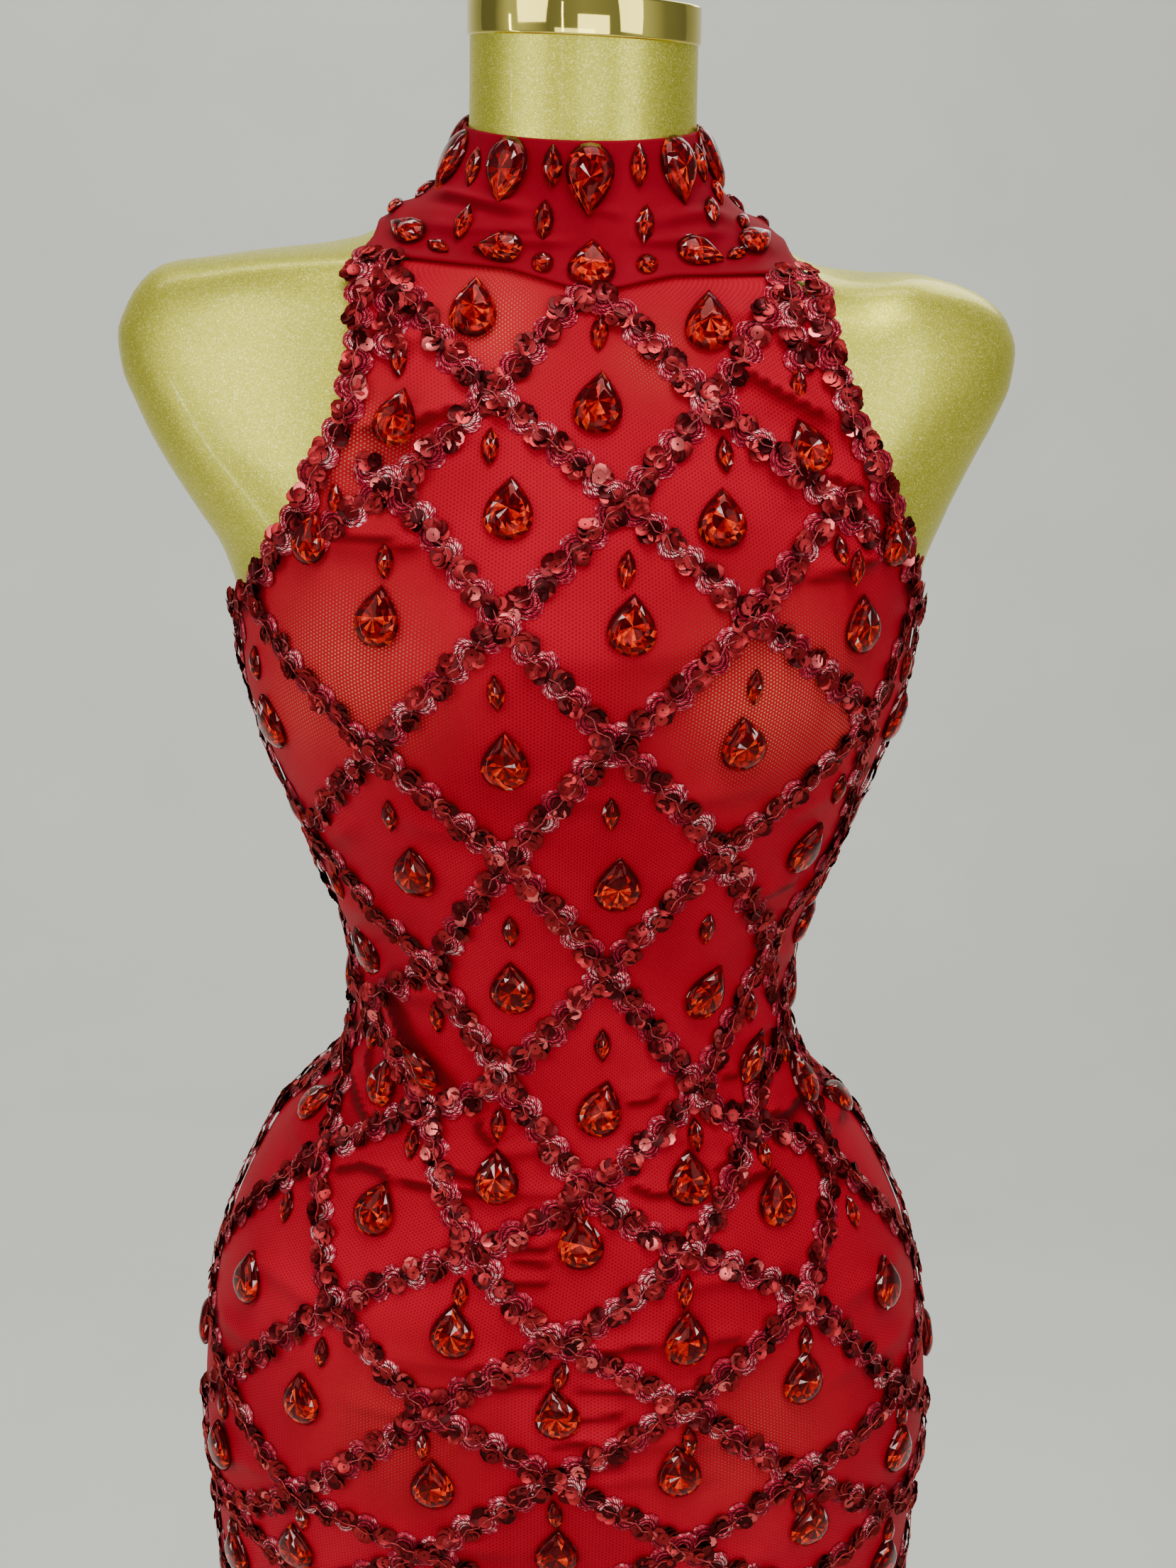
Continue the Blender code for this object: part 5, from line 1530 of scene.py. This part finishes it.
def turned_axes(axes, degrees):
    turn = np.radians(degrees)[:, None]
    first = axes[:, 0] * np.cos(turn) + axes[:, 1] * np.sin(turn)
    second = axes[:, 1] * np.cos(turn) - axes[:, 0] * np.sin(turn)
    return np.stack([first, second, axes[:, 2]], axis=1)


def level_frames(column, height, out):
    """Places whose X runs level round the body and whose Y runs up it."""
    return frames_at(column, height, np.full(len(column), 0.01), np.zeros(len(column)), out)


def hand_pear(half_column, row):
    """A turned pear's own place, width and turn, or the mirrored ones of its like on the back."""
    if (half_column, row) in TURNED_PEARS:
        return TURNED_PEARS[half_column, row]
    front = int(math.copysign(COLUMNS - abs(half_column), half_column))
    if abs(half_column) > HALF_ROUND and (front, row) in TURNED_PEARS:
        column, height, wide, turn = TURNED_PEARS[front, row]
        return math.copysign(HALF_ROUND, half_column) - column, height, wide, -turn
    return None


def lay_stones():
    draw = np.random.default_rng(11)
    glass = cut_glass()
    kinds = {}
    for kind, outline, sides, size, tiers in (
        ("pear", pear_line, 18, PEAR_MODEL, PEAR_TIERS),
        ("marquise", marquise_line, 12, MARQUISE_MODEL, MARQUISE_TIERS),
        ("round", round_line, 10, ROUND_MODEL, MARQUISE_TIERS),
    ):
        kinds[kind] = (model_stone(f"{kind}_model", outline(sides, *size), tiers), tiers, *size, sides)
    laid = {kind: [] for kind in kinds}
    tops = {half_column: (column, height) for half_column, column, height in TOP_PEARS}
    for row in range(0, LAST_ROW):
        for half_column in range(-COLUMNS, COLUMNS):
            if (half_column + row) % 2 == 0:
                continue
            if row == 0:
                column, height = tops.get(half_column, (half_column / 2, TOP_PEAR_HEIGHT))
                laid["pear"].append((column, height, *TOP_PEAR_SIZE, draw.normal(0, 3.0), "gown"))
                continue
            if abs(half_column) == 2 and row == 1:
                continue
            left, right, top, low = (
                knot_place(half_column + across, row + down) for across, down in ((-1, 0), (1, 0), (0, -1), (0, 1))
            )
            round_shift, up = hand_shift(PEAR_SHIFTS, half_column, row)
            round_shift += (left[0] + right[0] + top[0] + low[0]) / 4
            up += (left[1] + right[1] + top[1] + low[1]) / 4
            long, wide, turn = PEAR_SIZE[0] * draw.uniform(0.96, 1.03), PEAR_SIZE[1], draw.normal(0, 4.0)
            turned = hand_pear(half_column, row)
            if turned:
                round_shift, up, wide, turn = turned
            laid["pear"].append((round_shift, up, long, wide, turn, "gown"))
            if (half_column, row) in NO_MARQUISE:
                continue
            share = float(marquise_share(row))
            column = top[0] * (1 - share) + low[0] * share + draw.normal(0, 0.010)
            height = top[1] * (1 - share) + low[1] * share
            laid["marquise"].append((column, height, *MARQUISE_SIZE, draw.normal(0, 5.0), "gown"))
    for column, height, kind, long, wide, turn in ARMHOLE_STONES:
        laid[kind].append((column, height, long, wide, turn, "hand"))
        laid[kind].append((HALF_ROUND + column, height, long, wide, turn, "hand"))
    for column, height, kind, long, wide, turn in COLLAR_STONES:
        laid[kind].append((column, height, long, wide, turn, "collar"))
        if column > BACK_STONES_RIGHT_OF or column < BACK_STONES_LEFT_OF:
            behind = HALF_ROUND + column * BACK_STONES_SHARE
            laid[kind].append((behind, height, long, wide, turn, "collar"))
    pieces = []
    for kind, (model, tiers, long, wide, line_count) in kinds.items():
        rows = laid[kind]
        column, height, length, width, turn = (np.array([row[i] for row in rows], float) for i in range(5))
        on_collar = np.array([row[5] == "collar" for row in rows])
        by_hand = np.array([row[5] != "gown" for row in rows])
        above_hem = height > HEM_HEIGHT + (length / 2 + 3) * MM
        keep = by_hand | above_hem & on_panel(column, height, EDGE_TRIM_WIDTH + (7 if kind == "pear" else 4) * MM)
        column, height, length, width, turn, on_collar = (
            side[keep] for side in (column, height, length, width, turn, on_collar)
        )
        out = np.where(on_collar, collar_out(column, height), cloth_out(column, height))
        origins, axes = level_frames(column, height, out)
        axes = turned_axes(axes, turn)
        scale = np.stack([width / wide, length / long, np.minimum(1.0, length / long * 1.05)], axis=1)
        axes = axes * scale[:, :, None]
        for half, here in (("front", origins[:, 1] < 0), ("back", origins[:, 1] >= 0)):
            lit_facet_colours = facet_red_and_painted_light(model, turn[here], draw, line_count, tiers)
            piece = copies(f"{half}_{kind}_stones", model, origins[here], axes[here], None, lit_facet_colours)
            pieces.append(finish_piece(piece, glass, "sequin_trim"))
        bpy.data.objects.remove(model)
    return pieces


# The armholes' bindings, and the nape's buttons

BINDING_THICK, BINDING_STEPS = 0.9 * MM, 200


def make_armhole_binding():
    """The cloth's own bound edge along each armhole: a soft roll that carries the double trim."""
    pieces = []
    cloth = jersey_cloth()
    for side, name in ((1, "right"), (-1, "left")):
        def place(across, up, side=side):
            share = 0.30 * up - 0.02
            along = across * 2
            column = np.zeros(len(across))
            height = np.zeros(len(across))
            for level in np.unique(np.round(share, 6)):
                here = np.abs(share - level) < 1e-5
                line_column, line_height = armhole_line(level, DOUBLE_TRIM_WIDTH, BINDING_STEPS)
                position = np.where(along[here] <= 1, along[here], 2 - along[here]) * (BINDING_STEPS - 1)
                c = np.interp(position, np.arange(BINDING_STEPS), line_column)
                column[here] = np.where(along[here] <= 1, c, HALF_ROUND - c)
                height[here] = np.interp(position, np.arange(BINDING_STEPS), line_height)
            edge = np.exp(-((share / 0.10) ** 2))
            out = cloth_out(column, height) + 0.5 * MM + 0.4 * MM * edge
            return column * side, height, out, np.zeros(len(across))

        piece = add_sheet(f"armhole_binding_{name}", 150, 6, place, BINDING_THICK, cloth_out)
        if side < 0:
            edit_whole(piece, turn_out)
        pieces.append(finish_piece(piece, cloth, "red_jersey", f"armhole_trim_{name}"))
    return pieces


BUTTON_COLUMN, BUTTON_FIRST_HEIGHT, BUTTON_SPACING = 3.86, 1.4620, 0.0170
BUTTON_RADIUS, BUTTON_OUT = 5.0 * MM, 4.9 * MM
BUTTON_DOME, BUTTON_BACK = 0.52, 0.22


def make_buttons():
    cloth = jersey_cloth()
    for number in range(3):
        height = BUTTON_FIRST_HEIGHT - number * BUTTON_SPACING
        select_only()
        bpy.ops.mesh.primitive_uv_sphere_add(segments=24, ring_count=14, radius=BUTTON_RADIUS)
        piece = named(f"covered_button_{number + 1}")
        places = read_points(piece.data)
        places[:, 2] *= np.where(places[:, 2] > 0, BUTTON_DOME, BUTTON_BACK)
        origins, axes = level_frames(np.array([BUTTON_COLUMN]), np.array([height]), np.array([BUTTON_OUT]))
        set_points(piece, places @ axes[0] + origins[0])
        smooth(piece)
        finish_piece(piece, cloth, "red_jersey", f"nape_button_{number + 1}")


# The dress form and its stand

BUST_HEIGHT, BUST_DIP, BUST_DIP_WIDTH, BUST_DIP_REACH = 1.250, 0.0090, 0.024, 0.036
FORM_TOP, FORM_BOTTOM = 1.4968, 0.7752
# How far the bare ends of the shoulders lie off the even form. Side, how far across and from which height,
# how far up and between which distances from the middle
SHOULDER_SHIFTS = ((-1, -0.0070, 1.285, 0.0065, 0.150, 0.185), (1, -0.0042, 1.262, 0.0050, 0.118, 0.145))
# The shift across comes in between the first two distances from the middle. Both shifts come in over SHIFT_REACH of
# height, and the one up starts at LIFT_FROM.
SHIFT_FROM, SHIFT_TO, SHIFT_REACH, LIFT_FROM = 0.088, 0.118, 0.045, 1.285
# The form under the cloth is drawn in a little, below the underarm
COVERED_INSET, COVERED_TOP, COVERED_FADE = 0.5 * MM, 1.262, 0.020


def close_form():
    """Joins the form's edge at the centre back and closes its neck and its lower end."""
    bpy.ops.mesh.remove_doubles(threshold=0.05 * MM)
    bpy.ops.mesh.fill_holes(sides=0)


def make_form():
    select_only()
    bpy.ops.mesh.primitive_grid_add(x_subdivisions=128, y_subdivisions=190, size=2, calc_uvs=True)
    piece = named("painted_torso")
    across, up = grid_points(piece)
    column = -HALF_ROUND + COLUMNS * across
    height = FORM_BOTTOM + (FORM_TOP - FORM_BOTTOM) * up ** 0.93
    places = over_form(column, height, np.zeros(len(column)))
    beside = np.exp(-((places[:, 0] / BUST_DIP_WIDTH) ** 2) - ((height - BUST_HEIGHT) / BUST_DIP_REACH) ** 2)
    covered = smooth_step((COVERED_TOP - height) / COVERED_FADE)
    out = -COVERED_INSET * covered - BUST_DIP * beside * (places[:, 1] < 0)
    places = over_form(column, height, out)
    beyond = np.abs(places[:, 0])
    for side, across, low, up, start, end in SHOULDER_SHIFTS:
        here = side * places[:, 0] > 0
        outwards = smooth_step((beyond - SHIFT_FROM) / (SHIFT_TO - SHIFT_FROM))
        at_end = smooth_step((beyond - start) / (end - start))
        places[:, 0] += here * across * outwards * smooth_step((height - low) / SHIFT_REACH)
        places[:, 2] += here * up * at_end * smooth_step((height - LIFT_FROM) / SHIFT_REACH)
    set_points(piece, places)
    edit_whole(piece, close_form, turn_out)
    smooth(piece, 50.0)
    return finish_piece(piece, gold_flake(), "gold_paint", "form_torso")


def add_cylinder(name, radius, low, high, sides):
    select_only()
    bpy.ops.mesh.primitive_cylinder_add(
        vertices=sides, radius=radius, depth=high - low, location=(0.0, 0.0, (low + high) / 2)
    )
    piece = named(name)
    settle(piece)
    return piece


CAP_RADIUS, POLE_RADIUS = 0.0490, 0.0125
BASE_RADIUS, BASE_HEIGHT, FLANGE_RADIUS, FLANGE_HEIGHT = 0.140, 0.012, 0.032, 0.010


def make_stand():
    low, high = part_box("neck_cap")
    cap = add_cylinder("neck_cap_gold", CAP_RADIUS, low.z - 2 * MM, high.z - 1.5 * MM, 96)
    apply_modifier(cap, "BEVEL", width=0.0012, segments=3, angle_limit=math.radians(40))
    places = read_points(cap.data)
    places[:, 2] -= LEAN * places[:, 0]
    set_points(cap, places)
    smooth(cap, 40.0)
    finish_piece(cap, polished_gold(), "polished_gold", "neck_cap")

    steel = brushed_steel()
    base = add_cylinder("base_plate", BASE_RADIUS, 0.0, BASE_HEIGHT, 128)
    bpy.ops.object.mode_set(mode="EDIT")
    bpy.ops.mesh.select_all(action="DESELECT")
    bpy.ops.object.mode_set(mode="OBJECT")
    for face in base.data.polygons:
        face.select = face.normal.z > 0.9
    bpy.ops.object.mode_set(mode="EDIT")
    bpy.ops.mesh.select_mode(type="FACE")
    bpy.ops.mesh.inset(thickness=BASE_RADIUS - FLANGE_RADIUS)
    bpy.ops.mesh.extrude_region_move(TRANSFORM_OT_translate={"value": (0.0, 0.0, FLANGE_HEIGHT)})
    bpy.ops.object.mode_set(mode="OBJECT")
    apply_modifier(base, "BEVEL", width=0.0018, segments=3, angle_limit=math.radians(40))
    smooth(base, 40.0)
    finish_piece(base, steel, "steel", "base")

    low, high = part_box("pole")
    pole = add_cylinder("pole_tube", POLE_RADIUS, low.z, high.z, 64)
    apply_modifier(pole, "BEVEL", width=0.0006, segments=2, angle_limit=math.radians(40))
    smooth(pole, 40.0)
    finish_piece(pole, steel, "steel", "pole")


# The camera, the lights and the backdrop

FRAME_HEIGHT, FOCAL_PIXELS, SENSOR = 2212, 3318, 36.0
CAMERA_PLACE, CAMERA_PITCH, CAMERA_ROLL = (0.0065, -1.03, 1.45), 75.0, 0.9


def make_camera():
    data = bpy.data.cameras.new("camera")
    data.sensor_fit = "VERTICAL"
    data.sensor_height = SENSOR
    data.sensor_width = SENSOR
    data.lens = SENSOR * FOCAL_PIXELS / FRAME_HEIGHT
    data.clip_start, data.clip_end = 0.01, 50.0
    camera = put_in_scene("camera", data)
    camera.location = CAMERA_PLACE
    camera.rotation_mode = "XYZ"
    tilt = Matrix.Rotation(math.radians(CAMERA_PITCH), 3, "X")
    roll = Matrix.Rotation(math.radians(CAMERA_ROLL), 3, "Z")
    camera.rotation_euler = (tilt @ roll).to_euler()
    bpy.context.scene.camera = camera


# Area lights: name, place, target, width, height, watts, colour
LIGHTS = (
    ("window_left", (-1.9, -1.5, 2.3), (0.0, 0.0, 1.15), 1.5, 2.2, 32.0, (1.0, 0.985, 0.96)),
    ("window_right", (1.8, -1.7, 2.0), (0.0, 0.0, 1.15), 1.1, 2.0, 21.0, (0.98, 0.99, 1.0)),
    ("window_front", (0.5, -3.1, 1.0), (0.0, 0.0, 1.1), 1.7, 1.4, 24.0, (1.0, 0.995, 0.98)),
    ("floor_bounce", (-0.4, -2.5, 0.7), (0.0, 0.0, 0.95), 1.8, 0.8, 10.0, (1.0, 0.99, 0.97)),
    ("overhead", (0.2, -0.6, 3.0), (0.0, 0.0, 1.0), 1.1, 1.1, 35.0, (1.0, 0.99, 0.97)),
    ("tube_overhead", (0.5, -0.9, 2.7), (0.0, 0.0, 1.3), 1.5, 0.05, 3.0, (1.0, 1.0, 1.0)),
    ("tube_left", (-2.0, -0.5, 0.85), (0.0, 0.0, 1.3), 0.07, 1.5, 4.0, (1.0, 1.0, 1.0)),
    ("tube_front", (-0.75, -2.0, 1.5), (0.0, 0.0, 1.4), 0.05, 1.0, 1.6, (1.0, 1.0, 1.0)),
    ("wall_light", (-0.6, 1.3, 3.6), (-0.3, 3.9, 1.2), 3.0, 2.0, 72.0, (1.0, 1.0, 0.99)),
    ("back_rim", (0.7, 1.3, 2.2), (0.0, 0.0, 1.2), 0.7, 0.9, 6.0, (1.0, 1.0, 1.0)),
)
# The room's brightness round the object, as polished metal shows it: share of a full turn, brightness
ROOM_BANDS = (
    (0.00, 0.34), (0.10, 0.20), (0.17, 0.62), (0.22, 0.62), (0.27, 0.16), (0.36, 0.14), (0.42, 0.44), (0.46, 0.12),
    (0.50, 0.30), (0.55, 0.10), (0.60, 0.52), (0.68, 0.16), (0.76, 0.22), (0.83, 0.62), (0.90, 0.24), (1.00, 0.34),
)


def make_lights():
    for name, place, target, wide, high, watts, colour in LIGHTS:
        data = bpy.data.lights.new(name, "AREA")
        data.shape = "RECTANGLE"
        data.energy, data.size, data.size_y, data.color = watts, wide, high, colour
        light = put_in_scene(name, data)
        light.location = place
        light.rotation_euler = (Vector(target) - Vector(place)).to_track_quat("-Z", "Y").to_euler()
    world = bpy.data.worlds.new("studio")
    bpy.context.scene.world = world
    world.use_nodes = True
    nodes = world.node_tree.nodes
    place, split = nodes.new("ShaderNodeTexCoord"), nodes.new("ShaderNodeSeparateXYZ")
    turn, share, bands = nodes.new("ShaderNodeMath"), nodes.new("ShaderNodeMath"), nodes.new("ShaderNodeValToRGB")
    turn.operation, share.operation = "ARCTAN2", "MULTIPLY_ADD"
    share.inputs[1].default_value, share.inputs[2].default_value = 1 / (2 * math.pi), 0.5
    while len(bands.color_ramp.elements) < len(ROOM_BANDS):
        bands.color_ramp.elements.new(0.5)
    for element, (at, bright) in zip(bands.color_ramp.elements, ROOM_BANDS):
        element.position, element.color = at, (0.96 * bright, 0.98 * bright, bright, 1.0)
    join = world.node_tree.links.new
    join(place.outputs["Generated"], split.inputs[0])
    join(split.outputs[0], turn.inputs[0])
    join(split.outputs[1], turn.inputs[1])
    join(turn.outputs[0], share.inputs[0])
    join(share.outputs[0], bands.inputs[0])
    join(bands.outputs[0], nodes["Background"].inputs[0])
    nodes["Background"].inputs[1].default_value = 1.0


def make_backdrop():
    """A pale floor that curves up into the wall behind."""
    select_only()
    bpy.ops.mesh.primitive_grid_add(x_subdivisions=2, y_subdivisions=40, size=2)
    piece = named("pale_floor_and_wall")
    across, up = grid_points(piece)
    start, bend, wall, wall_height, width = -4.5, 1.7, 4.0, 3.0, 14.0
    floor = wall - bend - start
    arc = math.pi / 2 * bend
    along = up * (floor + arc + wall_height)
    turn = np.clip((along - floor) / bend, 0, math.pi / 2)
    y = np.where(along < floor, start + along, wall - bend + bend * np.sin(turn))
    z = np.where(along < floor, 0.0, bend * (1 - np.cos(turn))) + np.maximum(along - floor - arc, 0)
    set_points(piece, np.stack([(across - 0.5) * width, y, z], axis=1))
    smooth(piece)
    piece.data.materials.append(pale_paper())


def main():
    make_camera()
    make_lights()
    make_backdrop()
    make_form()
    make_stand()
    front, back = make_panels()
    collar = make_collar_cloth()
    bindings = make_armhole_binding()
    make_buttons()
    laid = lay_trims() + lay_stones()


main()
